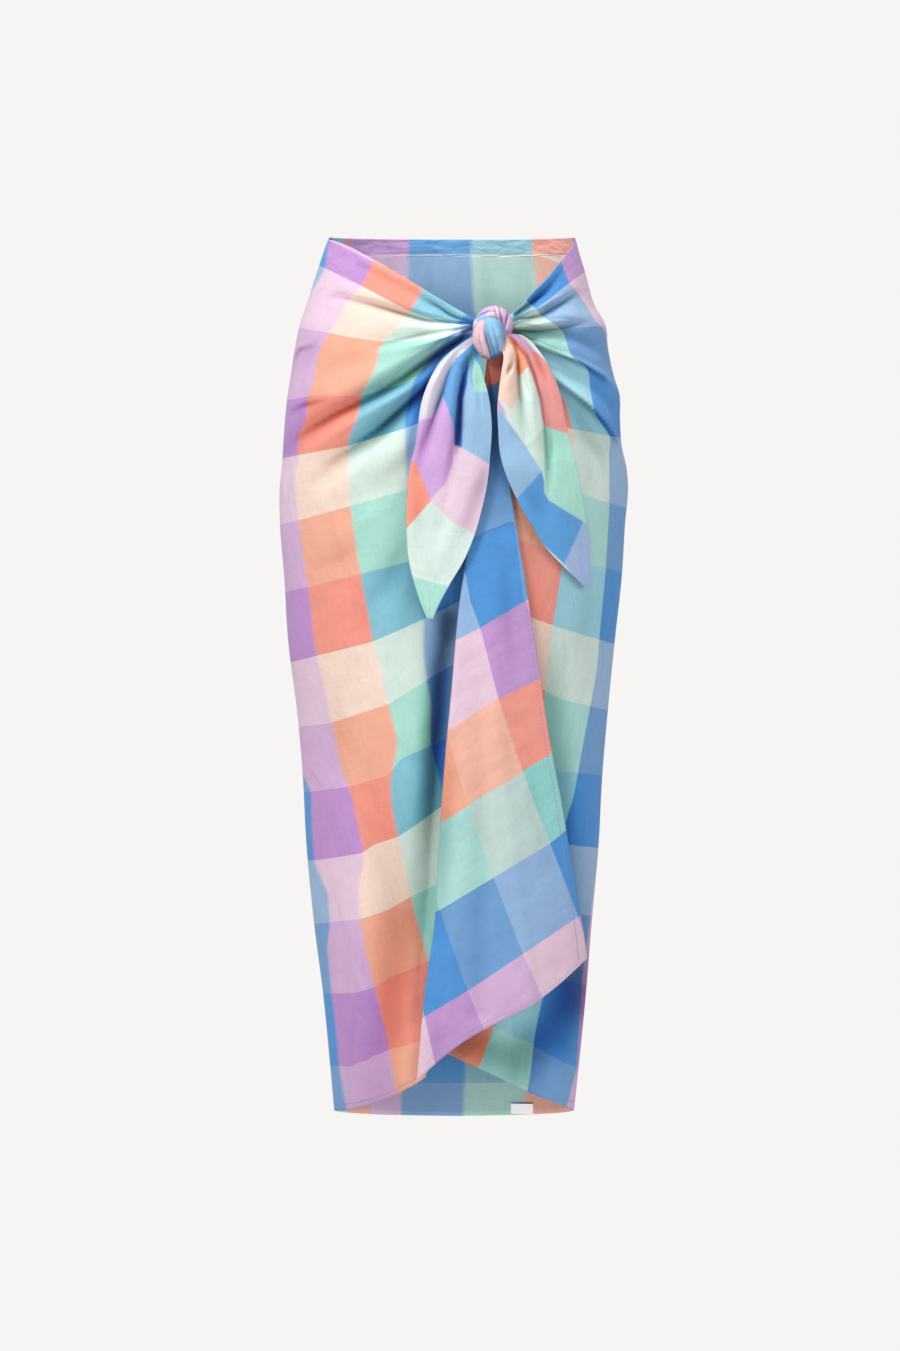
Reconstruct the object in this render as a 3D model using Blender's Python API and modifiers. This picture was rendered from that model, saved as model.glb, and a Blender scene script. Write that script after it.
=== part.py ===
"""A cotton sarong wound round the hips and knotted at the front, filled out and hollow.

Sizes are in millimetres. x runs to the right as the front is seen, down is measured from
the waist, and lift is measured outwards from the hollow form that the cloth lies round.
The front faces -Y, and the origin is the middle of the waist.
"""

import math
from collections import namedtuple

import bmesh
import bpy
import numpy as np

MM = 0.001
OBJECT_NAME = "sarong"

WALL = 1.6
SEAM_GAP = 0.3
KNOT_GAP = 0.35
LEFT_REACH = 55
UNDER_REACH = 32
SIDE_FADE = 6
EDGE_FADE = 5
BACK_FADE = 3
BACK_TOP = -3
BACK_HEM = 870
BACK_HEM_SAG = 8

KNOT_CENTRE = (35, 102)
KNOT_HALF = (16.5, 13, 20)
KNOT_LIFT = 23
BAND_RADIUS = 7
BAND_DEPTH = 9
BAND_FULLNESS = 2.2
BAND_STEP = 0.1
POLE = 0.01
LUMP_SIDES = 16
LUMP_RINGS = 12

LABEL_X = (58, 81)
LABEL_DOWN = (864.5, 875.5)
LABEL_WALL = 1.0

COTTON = (0.62, 0.66, 0.84, 1.0)
COTTON_ROUGHNESS = 0.85


class Table:
    """Sizes with named columns, a row for each section, read between rows on smooth curves."""

    def __init__(self, columns, *rows):
        self.row = namedtuple("Row", columns)
        self.values = np.array(rows, dtype=float)
        self.slopes = np.gradient(self.values, self.values[:, 0], axis=0)

    def at(self, place):
        """The columns at each place along the first column."""
        keys = self.values[:, 0]
        span = np.clip(np.searchsorted(keys, place, side="right") - 1, 0, len(keys) - 2)
        width = (keys[span + 1] - keys[span])[..., None]
        f = (place - keys[span])[..., None] / width
        curve = (2 * f ** 3 - 3 * f ** 2 + 1) * self.values[span]
        curve += (f ** 3 - 2 * f ** 2 + f) * self.slopes[span] * width
        curve += (3 * f ** 2 - 2 * f ** 3) * self.values[span + 1]
        curve += (f ** 3 - f ** 2) * self.slopes[span + 1] * width
        return self.row(*np.moveaxis(curve, -1, 0))

    def last(self):
        return self.values[-1, 0]


# The hollow form: its outline seen from the front, and how far its front and back stand out.
FORM = Table(
    "down left right front back",
    (-5, -124, 121, 83, 90),
    (0, -126, 122, 84, 91),
    (35, -138, 132, 94, 99),
    (66, -148, 141, 102, 106),
    (84, -154, 151, 106, 110),
    (108, -159, 154, 110, 115),
    (140, -164, 161, 114, 120),
    (152, -166, 165, 115, 122),
    (180, -169, 166, 117, 125),
    (208, -171, 168, 118, 127),
    (225, -172, 172, 119, 128),
    (243, -174, 174, 119, 128),
    (285, -174, 171, 119, 127),
    (334, -170, 168, 118, 124),
    (399, -166, 161, 115, 118),
    (480, -156, 153, 110, 110),
    (540, -151, 148, 106, 105),
    (599, -148, 145, 102, 100),
    (691, -139, 137, 96, 93),
    (753, -131, 132, 92, 89),
    (824, -124, 125, 87, 84),
    (880, -119, 119, 84, 81),
)

# Rows of the front left stretch, from the waist edge to the hem. Each row leaves the side
# at the height named side and runs to its inner end; bow bends it.
LEFT_ROWS = Table(
    "step side inner_x inner_down bow inner_lift",
    (0, 0, 21, 83, 1.30, 15),
    (1, 24, 22, 88, 1.25, 16),
    (2, 52, 23, 93, 1.20, 17),
    (3, 84, 24, 99, 1.15, 16),
    (4, 122, 24, 106, 1.00, 13),
    (5, 165, 24, 124, 1.00, 6),
    (6, 212, 24, 160, 1.00, 0),
    (7, 262, 22, 215, 1.00, -5),
    (8, 318, 19, 280, 1.00, -8),
    (9, 378, 13, 345, 1.00, -9),
    (10, 440, 8, 415, 1.00, -9),
    (11, 500, 4, 480, 1.00, -8),
    (12, 560, 1, 545, 1.00, -6),
    (13, 620, -2, 605, 1.00, -5),
    (14, 680, -5, 665, 1.00, -4),
    (15, 745, -15, 725, 1.10, -3),
    (16, 810, -24, 785, 1.40, -2),
    (17, 870, -28, 835, 1.90, -1),
)

# Rows of the front right stretch, which runs on behind the overlap.
UNDER_ROWS = Table(
    "step side inner_x inner_down bow inner_lift",
    (0, 1, 52, 77, 1.00, 14),
    (1, 26, 51, 82, 1.00, 15),
    (2, 52, 50, 87, 1.00, 15),
    (3, 80, 49, 92, 1.00, 14),
    (4, 110, 48, 98, 1.00, 10),
    (5, 145, 46, 118, 1.00, 2),
    (6, 190, 43, 160, 1.00, -6),
    (7, 240, 39, 215, 1.00, -10),
    (8, 295, 33, 275, 1.00, -13),
    (9, 355, 27, 340, 1.00, -14),
    (10, 420, 20, 405, 1.00, -14),
    (11, 485, 14, 470, 1.00, -13),
    (12, 550, 9, 535, 1.00, -11),
    (13, 615, 5, 600, 1.00, -9),
    (14, 680, 1, 660, 1.00, -7),
    (15, 745, -4, 715, 1.00, -6),
    (16, 808, -7, 765, 1.05, -5),
    (17, 868, -8, 811, 1.15, -4),
)

# Rows of the overlap, from under the knot to its slanting hem. Roll is the radius at which
# its left edge turns under.
OVERLAP_ROWS = Table(
    "step left_x left_down right_x right_down wave left_lift right_lift roll",
    (0, 32, 112, 44, 112, 0, 16, 16, 2.6),
    (1, 29, 140, 44, 134, 0, 14, 13, 2.6),
    (2, 24, 190, 45, 172, 0, 11, 9, 3.0),
    (3, 18, 260, 52, 234, 0, 9, 7, 3.2),
    (4, 11, 320, 61, 292, 0, 8, 6, 3.4),
    (5, 3.5, 378, 71, 352, 0, 9, 5, 3.6),
    (6, -2.5, 450, 82.5, 430, 0, 10, 5, 3.8),
    (7, -8, 510, 92, 495, 0, 11, 5, 4.0),
    (8, -12.5, 570, 103, 555, 0, 12, 5, 4.0),
    (9, -16, 625, 111.5, 605, 0, 12, 4.5, 4.0),
    (10, -19, 685, 119.5, 653, 2, 12, 4, 4.0),
    (11, -28, 750, 125.5, 688, 4, 11, 4, 3.8),
    (12, -36, 839, 129.5, 717.5, 6, 9, 4, 3.4),
)

# Rows of the two tied ends, from inside the knot to their tips.
TAIL_LEFT_ROWS = Table(
    "step left_x left_down right_x right_down lift pleat",
    (0, 22, 96, 28, 112, 25, 1.5),
    (1, 2, 110, 26, 127, 25, 3.0),
    (2, -14, 124, 30, 142, 23, 4.5),
    (3, -25, 144, 35, 162, 21, 5.5),
    (4, -33, 168, 37.5, 188, 20, 5.5),
    (5, -38, 205, 36, 216, 18, 5.0),
    (6, -45, 235, 33, 245, 17, 4.0),
    (7, -47, 267, 27, 273, 16, 3.2),
    (8, -47, 293, 20, 297, 15, 2.6),
    (9, -45, 320, 10, 321, 14, 2.0),
    (10, -40, 342, -3, 343, 13, 1.4),
    (11, -34, 361, -13, 361, 13, 0.8),
    (12, -27, 379, -21, 379, 13, 0.3),
)
TAIL_RIGHT_ROWS = Table(
    "step left_x left_down right_x right_down lift pleat",
    (0, 45, 110, 50, 96, 25, 1.0),
    (1, 49, 119, 70, 99, 25, 2.0),
    (2, 47, 134, 86, 115, 23, 3.0),
    (3, 44.6, 152, 97, 134, 21, 3.2),
    (4, 43, 171, 105, 154, 20, 3.0),
    (5, 44, 192, 111, 182, 18, 2.6),
    (6, 45.5, 214, 117, 208, 16, 2.2),
    (7, 51.6, 236.5, 123, 234, 15, 1.8),
    (8, 62, 259.5, 128, 258, 14, 1.4),
    (9, 75, 282.5, 132, 282, 13, 1.0),
    (10, 91, 308, 135, 306, 12, 0.7),
    (11, 110, 328, 136, 326, 12, 0.4),
    (12, 130, 347, 136, 349, 12, 0.2),
)

# The band of cloth that comes over the top of the knot.
BAND_PATH = Table(
    "step x down lift",
    (0, 25, 102, 19),
    (1, 23.5, 89, 20),
    (2, 27, 80, 22),
    (3, 34, 75.5, 24),
    (4, 42, 75.5, 24),
    (5, 48.5, 80.5, 22),
    (6, 51, 90, 20),
    (7, 45, 102, 19),
)

# A fold is a ridge where its lifts are above zero and a trough where they are below. Lifts
# are given at its start, middle and finish, and widths on its upper and its lower side.
# A fold that runs down the cloth has its right side first.
Fold = namedtuple("Fold", "start middle finish above below path")

LEFT_FOLDS = (
    Fold(3.0, 3.5, 3.0, 9, 6, ((-90, 22), (-42, 46), (-6, 68), (14, 80))),
    Fold(-1.0, -4.0, -5.0, 5, 6, ((-118, 56), (-69, 70), (-23, 83), (16, 87))),
    Fold(0.0, -3.0, -4.5, 6, 8, ((-106, 97), (-69, 104), (-24, 95), (18, 92))),
    Fold(0.0, 4.0, 5.0, 10, 7, ((-124, 118), (-80, 114), (-30, 104), (14, 95))),
    Fold(-2.0, -8.0, -7.0, 9, 11, ((-164, 206), (-118, 172), (-69, 149), (-33, 131), (14, 100))),
    Fold(0.0, 6.0, 4.0, 10, 9, ((-158, 222), (-112, 189), (-64, 163), (-27, 143), (6, 118))),
    Fold(0.0, -7.0, -6.0, 9, 11, ((-146, 250), (-86, 201), (-47, 166), (-24, 145), (4, 124))),
    Fold(0.0, 4.5, 3.0, 14, 12, ((-118, 262), (-66, 222), (-30, 192), (2, 160))),
    Fold(-1.0, -4.5, 0.0, 12, 9, ((-47, 300), (-64, 340), (-80, 378))),
    Fold(0.0, 5.0, 3.0, 14, 20, ((-20, 420), (-32, 500), (-46, 600), (-50, 660))),
    Fold(0.0, -4.0, -3.0, 16, 18, ((-78, 480), (-76, 580), (-68, 680), (-62, 800))),
    Fold(0.0, 3.5, 4.0, 18, 18, ((-104, 540), (-98, 660), (-88, 860))),
    Fold(0.0, 4.0, 4.0, 12, 14, ((-34, 690), (-44, 760), (-50, 840))),
)

UNDER_FOLDS = (
    Fold(-3.0, -2.5, 0.0, 6, 6, ((62, 76), (78, 63), (98, 44))),
    Fold(-3.0, -4.0, 0.0, 7, 7, ((62, 84), (87, 77), (98, 68), (127, 54))),
    Fold(4.0, 5.0, 2.0, 8, 7, ((60, 88), (98, 80), (119, 79), (148, 84))),
    Fold(-4.0, -5.0, -2.0, 6, 7, ((60, 95), (100, 96), (130, 103), (156, 118))),
    Fold(3.0, 6.5, 3.0, 13, 5, ((66, 99), (90, 110), (117, 118), (135, 127), (160, 145))),
    Fold(-2.0, -5.0, -2.0, 5, 8, ((72, 110), (104, 127), (138, 150), (162, 172))),
    Fold(1.0, 6.0, 2.5, 13, 5, ((88, 132), (114, 153), (139, 175), (155, 192), (168, 214))),
    Fold(0.0, -5.0, -1.5, 6, 12, ((96, 152), (124, 180), (148, 212), (160, 244))),
    Fold(0.0, 3.5, 0.0, 16, 14, ((112, 196), (128, 240), (136, 300), (134, 360))),
    Fold(0.0, -3.0, -2.0, 18, 16, ((112, 330), (112, 450), (106, 600), (112, 760))),
    Fold(0.0, 3.0, 3.0, 16, 16, ((134, 420), (128, 560), (122, 680), (118, 840))),
    Fold(0.0, -3.0, -3.0, 12, 14, ((74, 740), (78, 790), (82, 850))),
    Fold(0.0, 3.0, 3.0, 12, 12, ((46, 730), (46, 780), (44, 840))),
)

OVERLAP_FOLDS = (
    Fold(0.0, 3.5, 3.0, 10, 12, ((36, 230), (36, 380), (44, 520), (60, 660), (72, 760))),
    Fold(0.0, -4.0, -3.0, 10, 12, ((22, 400), (24, 520), (28, 640), (24, 770))),
    Fold(0.0, -3.0, -2.0, 10, 12, ((66, 440), (82, 560), (98, 640), (104, 720))),
    Fold(0.0, 3.0, 3.5, 10, 12, ((2, 560), (0, 660), (-10, 780))),
)

BACK_FOLDS = (
    Fold(0.0, 3.0, 0.0, 14, 14, ((-150, 120), (-90, 170), (-20, 196), (60, 190))),
    Fold(0.0, -3.5, 0.0, 12, 14, ((160, 110), (110, 150), (50, 168), (-20, 164))),
    Fold(0.0, -4.0, -3.0, 18, 20, ((-96, 260), (-92, 480), (-84, 700), (-76, 868))),
    Fold(0.0, 4.0, 3.0, 20, 20, ((-60, 300), (-54, 520), (-48, 700), (-40, 870))),
    Fold(0.0, -3.5, -3.0, 18, 22, ((-8, 330), (-6, 560), (0, 870))),
    Fold(0.0, 4.0, 3.0, 20, 20, ((46, 300), (42, 520), (40, 870))),
    Fold(0.0, -4.0, -3.0, 18, 20, ((90, 250), (86, 480), (78, 700), (74, 868))),
    Fold(0.0, 3.0, 2.0, 16, 16, ((128, 220), (118, 460), (104, 860))),
    Fold(0.0, 3.0, 2.0, 16, 16, ((-132, 220), (-122, 460), (-106, 860))),
)

TAIL_LEFT_FOLDS = (
    Fold(2.0, 3.5, 0.0, 8, 7, ((-2, 114), (-20, 132), (-30, 166), (-36, 206), (-42, 250))),
    Fold(-2.0, -3.0, 0.0, 6, 6, ((-2, 122), (-18, 160), (-30, 210), (-36, 270))),
)
TAIL_RIGHT_FOLDS = (
    Fold(0.0, 0.5, 0.0, 10, 10, ((60, 190), (70, 240), (90, 290))),
)

# The front leaf of the right end lies on its back strip: the leaf's edge, and its height.
LEAF_EDGE = Table(
    "down x",
    (96, 62),
    (121, 72),
    (152, 84),
    (172, 88),
    (183, 91),
    (252, 91),
    (300, 112),
    (350, 138),
)
LEAF_HEIGHT = 4.5
LEAF_SLOPE = 2.6


def fold_lift(folds, x, down):
    """How far the folds raise or sink the cloth at points seen from the front."""
    lift = np.zeros_like(x)
    for fold in folds:
        path = np.array(fold.path, dtype=float)
        steps = np.diff(path, axis=0)
        lengths = np.hypot(steps[:, 0], steps[:, 1])
        nearest = np.full_like(x, np.inf)
        below = np.zeros_like(x, dtype=bool)
        along = np.zeros_like(x)
        for index, (point, step, length) in enumerate(zip(path, steps, lengths)):
            across, under = x - point[0], down - point[1]
            part = np.clip((across * step[0] + under * step[1]) / length ** 2, 0, 1)
            off_x, off_down = across - part * step[0], under - part * step[1]
            distance = np.hypot(off_x, off_down)
            closer = distance < nearest
            nearest = np.where(closer, distance, nearest)
            below = np.where(closer, step[0] * off_down > step[1] * off_x, below)
            along = np.where(closer, lengths[:index].sum() + part * length, along)
        width = np.where(below, fold.below, fold.above)
        height = np.interp(along / lengths.sum(), (0, 0.5, 1), (fold.start, fold.middle, fold.finish))
        lift += height * np.exp(-(nearest / width) ** 2)
    return lift


def ease(part):
    part = np.clip(part, 0, 1)
    return part * part * (3 - 2 * part)


def round_form(angle, down, lift):
    """Points round the hollow form: angle 0 is its left outline, a quarter turn its front."""
    section = FORM.at(down)
    middle = (section.left + section.right) / 2
    half = (section.right - section.left) / 2
    depth = np.where(np.sin(angle) > 0, section.front, section.back)
    across, ahead = -np.cos(angle), -np.sin(angle)
    size = np.hypot(across * depth, ahead * half)
    x = middle + half * across + lift * across * depth / size
    y = depth * ahead + lift * ahead * half / size
    return np.stack([x, y, -down], axis=-1) * MM


def form_angle(x, down):
    """The angle at which the form's front has this x."""
    section = FORM.at(down)
    middle = (section.left + section.right) / 2
    half = (section.right - section.left) / 2
    return np.arccos(np.clip((middle - x) / half, -1, 1))


def ahead_of_form(x, down, lift):
    """Points straight in front of the form, so that they keep their x."""
    section = FORM.at(down)
    y = -section.front * np.sin(form_angle(x, down)) - lift
    return np.stack([x, y, -down], axis=-1) * MM


def seam_shift(angle, side, down):
    """Moves a row's outer end off the side line by half of the gap between two pieces."""
    section = FORM.at(down)
    shift = SEAM_GAP / 2 / section.front
    return angle + (shift if side < 0 else -shift) * ease(1 - np.abs(angle - side_angle(side)))


def side_angle(side):
    return 0 if side < 0 else math.pi


def front_panel(rows, folds, reach, side, across, fall):
    """A stretch between one side of the form, -1 or 1, and an inner end at the front."""
    row = rows.at(fall * rows.last())
    turn = np.abs(side_angle(side) - form_angle(row.inner_x, row.inner_down))
    from_side = across if side < 0 else 1 - across
    part = (1 - np.cos(from_side * turn)) / (1 - np.cos(turn))
    down = row.side + (row.inner_down - row.side) * part ** row.bow
    section = FORM.at(down)
    outer = section.left if side < 0 else section.right
    x = outer + (row.inner_x - outer) * part
    inner = ease(1 - np.abs(row.inner_x - x) / reach)
    lift = row.inner_lift * inner + fold_lift(folds, x, down) * ease(part * SIDE_FADE)
    angle = seam_shift(form_angle(x, down), side, down)
    return round_form(angle, down, lift)


def front_left(across, fall):
    return front_panel(LEFT_ROWS, LEFT_FOLDS, LEFT_REACH, -1, across, fall)


def front_right(across, fall):
    return front_panel(UNDER_ROWS, UNDER_FOLDS, UNDER_REACH, 1, across, fall)


def back(across, fall):
    """The back and both sides, from the right outline round to the left one."""
    sag = BACK_HEM_SAG * np.sin(math.pi * across)
    down = BACK_TOP + (BACK_HEM + sag - BACK_TOP) * fall
    section = FORM.at(down)
    shift = SEAM_GAP / 2 / section.back
    angle = math.pi + shift + (math.pi - 2 * shift) * across
    x = (section.left + section.right) / 2 - (section.right - section.left) / 2 * np.cos(angle)
    lift = fold_lift(BACK_FOLDS, x, down) * ease(np.sin(math.pi * across) * BACK_FADE)
    return round_form(angle, down, lift)


HOOK_BACK = 0.10
HOOK_FRONT = 0.30
HOOK_TUCK = 7


def overlap(across, fall):
    """The overlap: its left edge is a roll that turns under, and its right edge is free."""
    row = OVERLAP_ROWS.at(fall * OVERLAP_ROWS.last())
    turn = np.clip((across - HOOK_BACK) / (HOOK_FRONT - HOOK_BACK), 0, 1) * math.pi
    tuck = HOOK_TUCK * np.clip(1 - across / HOOK_BACK, 0, 1)
    part = np.clip((across - HOOK_FRONT) / (1 - HOOK_FRONT), 0, 1)
    start_x = row.left_x + row.roll
    x = start_x + (row.right_x - start_x) * part - row.roll * np.sin(turn) + tuck
    part = (x - row.left_x) / (row.right_x - row.left_x)
    down = row.left_down + (row.right_down - row.left_down) * part
    down = down - row.wave * np.sin(2 * math.pi * part)
    lift = row.left_lift + (row.right_lift - row.left_lift) * part
    fade = ease(part * EDGE_FADE) * ease((1 - part) * EDGE_FADE) * (turn >= math.pi)
    lift = lift + fold_lift(OVERLAP_FOLDS, x, down) * fade - row.roll * (1 + np.cos(turn))
    return round_form(form_angle(x, down), down, lift)


TAIL_PLEATS = 3
PLEAT_SHARE = 0.6
LEFT_PLEAT_START = -0.6
RIGHT_PLEAT_START = 0.9


def pleats(height, across, start):
    """Even pleats side by side across a tied end."""
    return PLEAT_SHARE * height * np.cos(TAIL_PLEATS * 2 * math.pi * across + start)


def tail_left(across, fall):
    row = TAIL_LEFT_ROWS.at(fall * TAIL_LEFT_ROWS.last())
    x = row.left_x + (row.right_x - row.left_x) * across
    down = row.left_down + (row.right_down - row.left_down) * across
    lift = row.lift + pleats(row.pleat, across, LEFT_PLEAT_START) + fold_lift(TAIL_LEFT_FOLDS, x, down)
    return ahead_of_form(x, down, lift)


def tail_right(across, fall):
    row = TAIL_RIGHT_ROWS.at(fall * TAIL_RIGHT_ROWS.last())
    x = row.left_x + (row.right_x - row.left_x) * across
    down = row.left_down + (row.right_down - row.left_down) * across
    leaf = LEAF_HEIGHT * ease((LEAF_EDGE.at(down).x - x) / LEAF_SLOPE + 0.5)
    lift = row.lift + pleats(row.pleat, across, RIGHT_PLEAT_START) + leaf
    lift = lift + fold_lift(TAIL_RIGHT_FOLDS, x, down)
    return ahead_of_form(x, down, lift)


def label(across, fall):
    """The label lies inside the back's hem: the back's own points, moved in past its wall."""
    x = LABEL_X[1] - (LABEL_X[1] - LABEL_X[0]) * across
    down = LABEL_DOWN[0] + (LABEL_DOWN[1] - LABEL_DOWN[0]) * fall
    angle = 2 * math.pi - form_angle(x, down)
    lift = fold_lift(BACK_FOLDS, x, down) - WALL - SEAM_GAP
    return round_form(angle, down, lift)


def knot_ball(points, gap):
    """The wrap at the front of the knot, from a unit sphere's points."""
    x = KNOT_CENTRE[0] + points[:, 0] * (KNOT_HALF[0] + gap)
    down = KNOT_CENTRE[1] - points[:, 2] * (KNOT_HALF[2] + gap)
    centre = np.array([KNOT_CENTRE], dtype=float)
    middle = ahead_of_form(centre[:, 0], centre[:, 1], KNOT_LIFT)
    y = middle[0, 1] / MM + points[:, 1] * (KNOT_HALF[1] + gap)
    return np.stack([x, y, -down], axis=-1) * MM


def knot_band(points, gap):
    """The band over the knot: a unit sphere drawn out along the band's path."""
    place = (points[:, 2] + 1) / 2 * BAND_PATH.last()
    middle = BAND_PATH.at(place)
    before, after = BAND_PATH.at(np.clip(place - BAND_STEP, 0, None)), BAND_PATH.at(place + BAND_STEP)
    run_x, run_down = after.x - before.x, after.down - before.down
    length = np.hypot(run_x, run_down)
    # The sphere's waist is flattened to an even tube with round ends.
    girth = np.hypot(points[:, 0], points[:, 1])
    even = np.where(girth > POLE, np.minimum(1, girth * BAND_FULLNESS) / np.maximum(girth, POLE), 0)
    aside = points[:, 0] * even * (BAND_RADIUS + gap)
    ahead = points[:, 1] * even * (BAND_DEPTH + gap)
    x = middle.x - aside * run_down / length
    down = middle.down + aside * run_x / length
    return ahead_of_form(x, down, middle.lift) + np.stack([0 * x, ahead, 0 * x], axis=-1) * MM


def cotton(name):
    material = bpy.data.materials.new(name)
    material.use_nodes = True
    shader = material.node_tree.nodes["Principled BSDF"]
    shader.inputs["Base Color"].default_value = COTTON
    shader.inputs["Roughness"].default_value = COTTON_ROUGHNESS
    shader.inputs["Metallic"].default_value = 0.0
    return material


def add_object(name, mesh, collection):
    piece = bpy.data.objects.new(name, mesh)
    collection.objects.link(piece)
    mesh.materials.append(cotton(name + "_cotton"))
    mesh.shade_smooth()
    return piece


def add_sheet(name, place, columns, rows, wall, collection):
    """A closed cloth wall: a grid with its points placed by a function, then given its wall."""
    shape = bmesh.new()
    bmesh.ops.create_grid(shape, x_segments=columns, y_segments=rows, size=0.5)
    flat = np.array([vert.co for vert in shape.verts])
    points = place(flat[:, 0] + 0.5, 0.5 - flat[:, 1])
    for vert, point in zip(shape.verts, points):
        vert.co = point
    mesh = bpy.data.meshes.new(name)
    shape.to_mesh(mesh)
    shape.free()
    piece = add_object(name, mesh, collection)
    thicken = piece.modifiers.new("Wall", "SOLIDIFY")
    thicken.thickness = wall * MM
    thicken.offset = -1
    return piece


def add_lump(name, place, gap, collection):
    """A closed lump: a sphere with its points placed by a function."""
    shape = bmesh.new()
    bmesh.ops.create_uvsphere(shape, u_segments=LUMP_SIDES, v_segments=LUMP_RINGS, radius=1)
    points = place(np.array([vert.co for vert in shape.verts]), gap)
    for vert, point in zip(shape.verts, points):
        vert.co = point
    bmesh.ops.recalc_face_normals(shape, faces=shape.faces)
    mesh = bpy.data.meshes.new(name)
    shape.to_mesh(mesh)
    shape.free()
    return add_object(name, mesh, collection)


def add_knot(name, gap, collection):
    """The knot: the wrap and the band, joined to one closed body."""
    knot = add_lump(name, knot_ball, gap, collection)
    band = add_lump(name + "_band", knot_band, gap, collection)
    union = knot.modifiers.new("Join", "BOOLEAN")
    union.operation = "UNION"
    union.object = band
    bpy.context.view_layer.update()
    graph = bpy.context.evaluated_depsgraph_get()
    joined = bpy.data.meshes.new_from_object(knot.evaluated_get(graph))
    knot.modifiers.clear()
    knot.data = joined
    bpy.data.objects.remove(band)
    return knot


def cut_round_knot(piece, cutter):
    """Ends a sheet where the knot takes it in, with a gap all round."""
    cut = piece.modifiers.new("Knot", "BOOLEAN")
    cut.operation = "DIFFERENCE"
    cut.object = cutter


def main():
    for old in list(bpy.data.objects):
        bpy.data.objects.remove(old)
    parts = bpy.data.collections.new(OBJECT_NAME)
    cutters = bpy.data.collections.new("cutters")
    bpy.context.scene.collection.children.link(parts)
    bpy.context.scene.collection.children.link(cutters)

    add_knot("knot", 0, parts)
    cutter = add_knot("knot_cutter", KNOT_GAP, cutters)
    cutter.display_type = "WIRE"
    cutter.hide_render = True

    add_sheet("back_stretch", back, 24, 14, WALL, parts)
    add_sheet("hem_label", label, 3, 2, LABEL_WALL, parts)
    knotted = (
        add_sheet("front_left_stretch", front_left, 26, 32, WALL, parts),
        add_sheet("front_right_under_stretch", front_right, 20, 34, WALL, parts),
        add_sheet("overlap_stretch", overlap, 20, 18, WALL, parts),
        add_sheet("tail_left", tail_left, 15, 15, WALL, parts),
        add_sheet("tail_right", tail_right, 15, 15, WALL, parts),
    )
    for piece in knotted:
        cut_round_knot(piece, cutter)


main()
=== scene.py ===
import math
from collections import namedtuple

import bpy
import numpy as np
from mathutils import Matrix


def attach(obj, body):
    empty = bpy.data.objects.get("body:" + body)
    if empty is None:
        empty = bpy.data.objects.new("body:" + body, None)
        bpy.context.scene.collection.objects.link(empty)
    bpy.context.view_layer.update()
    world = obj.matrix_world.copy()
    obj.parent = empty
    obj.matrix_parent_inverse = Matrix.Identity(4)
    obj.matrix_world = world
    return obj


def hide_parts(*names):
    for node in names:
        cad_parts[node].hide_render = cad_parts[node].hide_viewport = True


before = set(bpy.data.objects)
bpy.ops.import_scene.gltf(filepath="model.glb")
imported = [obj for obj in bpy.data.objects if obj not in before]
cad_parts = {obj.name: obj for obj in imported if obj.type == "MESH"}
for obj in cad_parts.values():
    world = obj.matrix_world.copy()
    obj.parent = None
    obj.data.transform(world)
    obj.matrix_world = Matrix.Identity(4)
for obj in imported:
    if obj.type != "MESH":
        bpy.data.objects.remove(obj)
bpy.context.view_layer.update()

MM = 0.001
CLOTH_WALL = 0.6
LEFT_REACH = 55
UNDER_REACH = 32
PANEL_PARTS = (0, 0.4, 1)
PANEL_PLACES = (0, 0.5, 1)
SIDE_FADE = 6
EDGE_FADE = 5
BACK_FADE = 3
BACK_TOP = -3
BACK_HEM = 870
BACK_HEM_SAG = 8
BACK_PARTS = (0, 0.22, 1)
BACK_PLACES = (0, 0.045, 1)

KNOT_CENTRE = (35, 101)
KNOT_HALF = (17, 15, 21)
KNOT_LIFT = 23
BAND_RADIUS = 7.5
BAND_DEPTH = 9
BAND_SINK = 5
BAND_FULLNESS = 2.2
BAND_STEP = 0.1
POLE = 0.01
FRONT_FADE = 2

LABEL_X = (58, 81)
LABEL_DOWN = (864.5, 875.5)
LABEL_GAP = 0.5
LABEL_WALL = 0.5

# The photo's frame: one of its pixels is one millimetre at the middle of the object.
PHOTO_MIDDLE = (450, 675.5)
ORIGIN_X = 454
CAMERA_X = -0.004
CAMERA_Z = -0.4355
CAMERA_DISTANCE = 16
SENSOR = 36
PHOTO_WIDTH = 0.9
CLIP_END = 100

STRIPE_WIDTH = 62
STRIPE_HEIGHT = 66


class Table:
    """Sizes with named columns, a row for each section, read between rows on smooth curves."""

    def __init__(self, columns, *rows):
        self.row = namedtuple("Row", columns)
        self.values = np.array(rows, dtype=float)
        self.slopes = np.gradient(self.values, self.values[:, 0], axis=0)

    def at(self, place):
        """The columns at each place along the first column."""
        keys = self.values[:, 0]
        span = np.clip(np.searchsorted(keys, place, side="right") - 1, 0, len(keys) - 2)
        width = (keys[span + 1] - keys[span])[..., None]
        f = (place - keys[span])[..., None] / width
        curve = (2 * f ** 3 - 3 * f ** 2 + 1) * self.values[span]
        curve += (f ** 3 - 2 * f ** 2 + f) * self.slopes[span] * width
        curve += (3 * f ** 2 - 2 * f ** 3) * self.values[span + 1]
        curve += (f ** 3 - f ** 2) * self.slopes[span + 1] * width
        return self.row(*np.moveaxis(curve, -1, 0))

    def last(self):
        return self.values[-1, 0]


def stepped(columns, *rows):
    """A table whose first column, step, counts its rows from 0."""
    return Table("step " + columns, *((step, *row) for step, row in enumerate(rows)))


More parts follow.
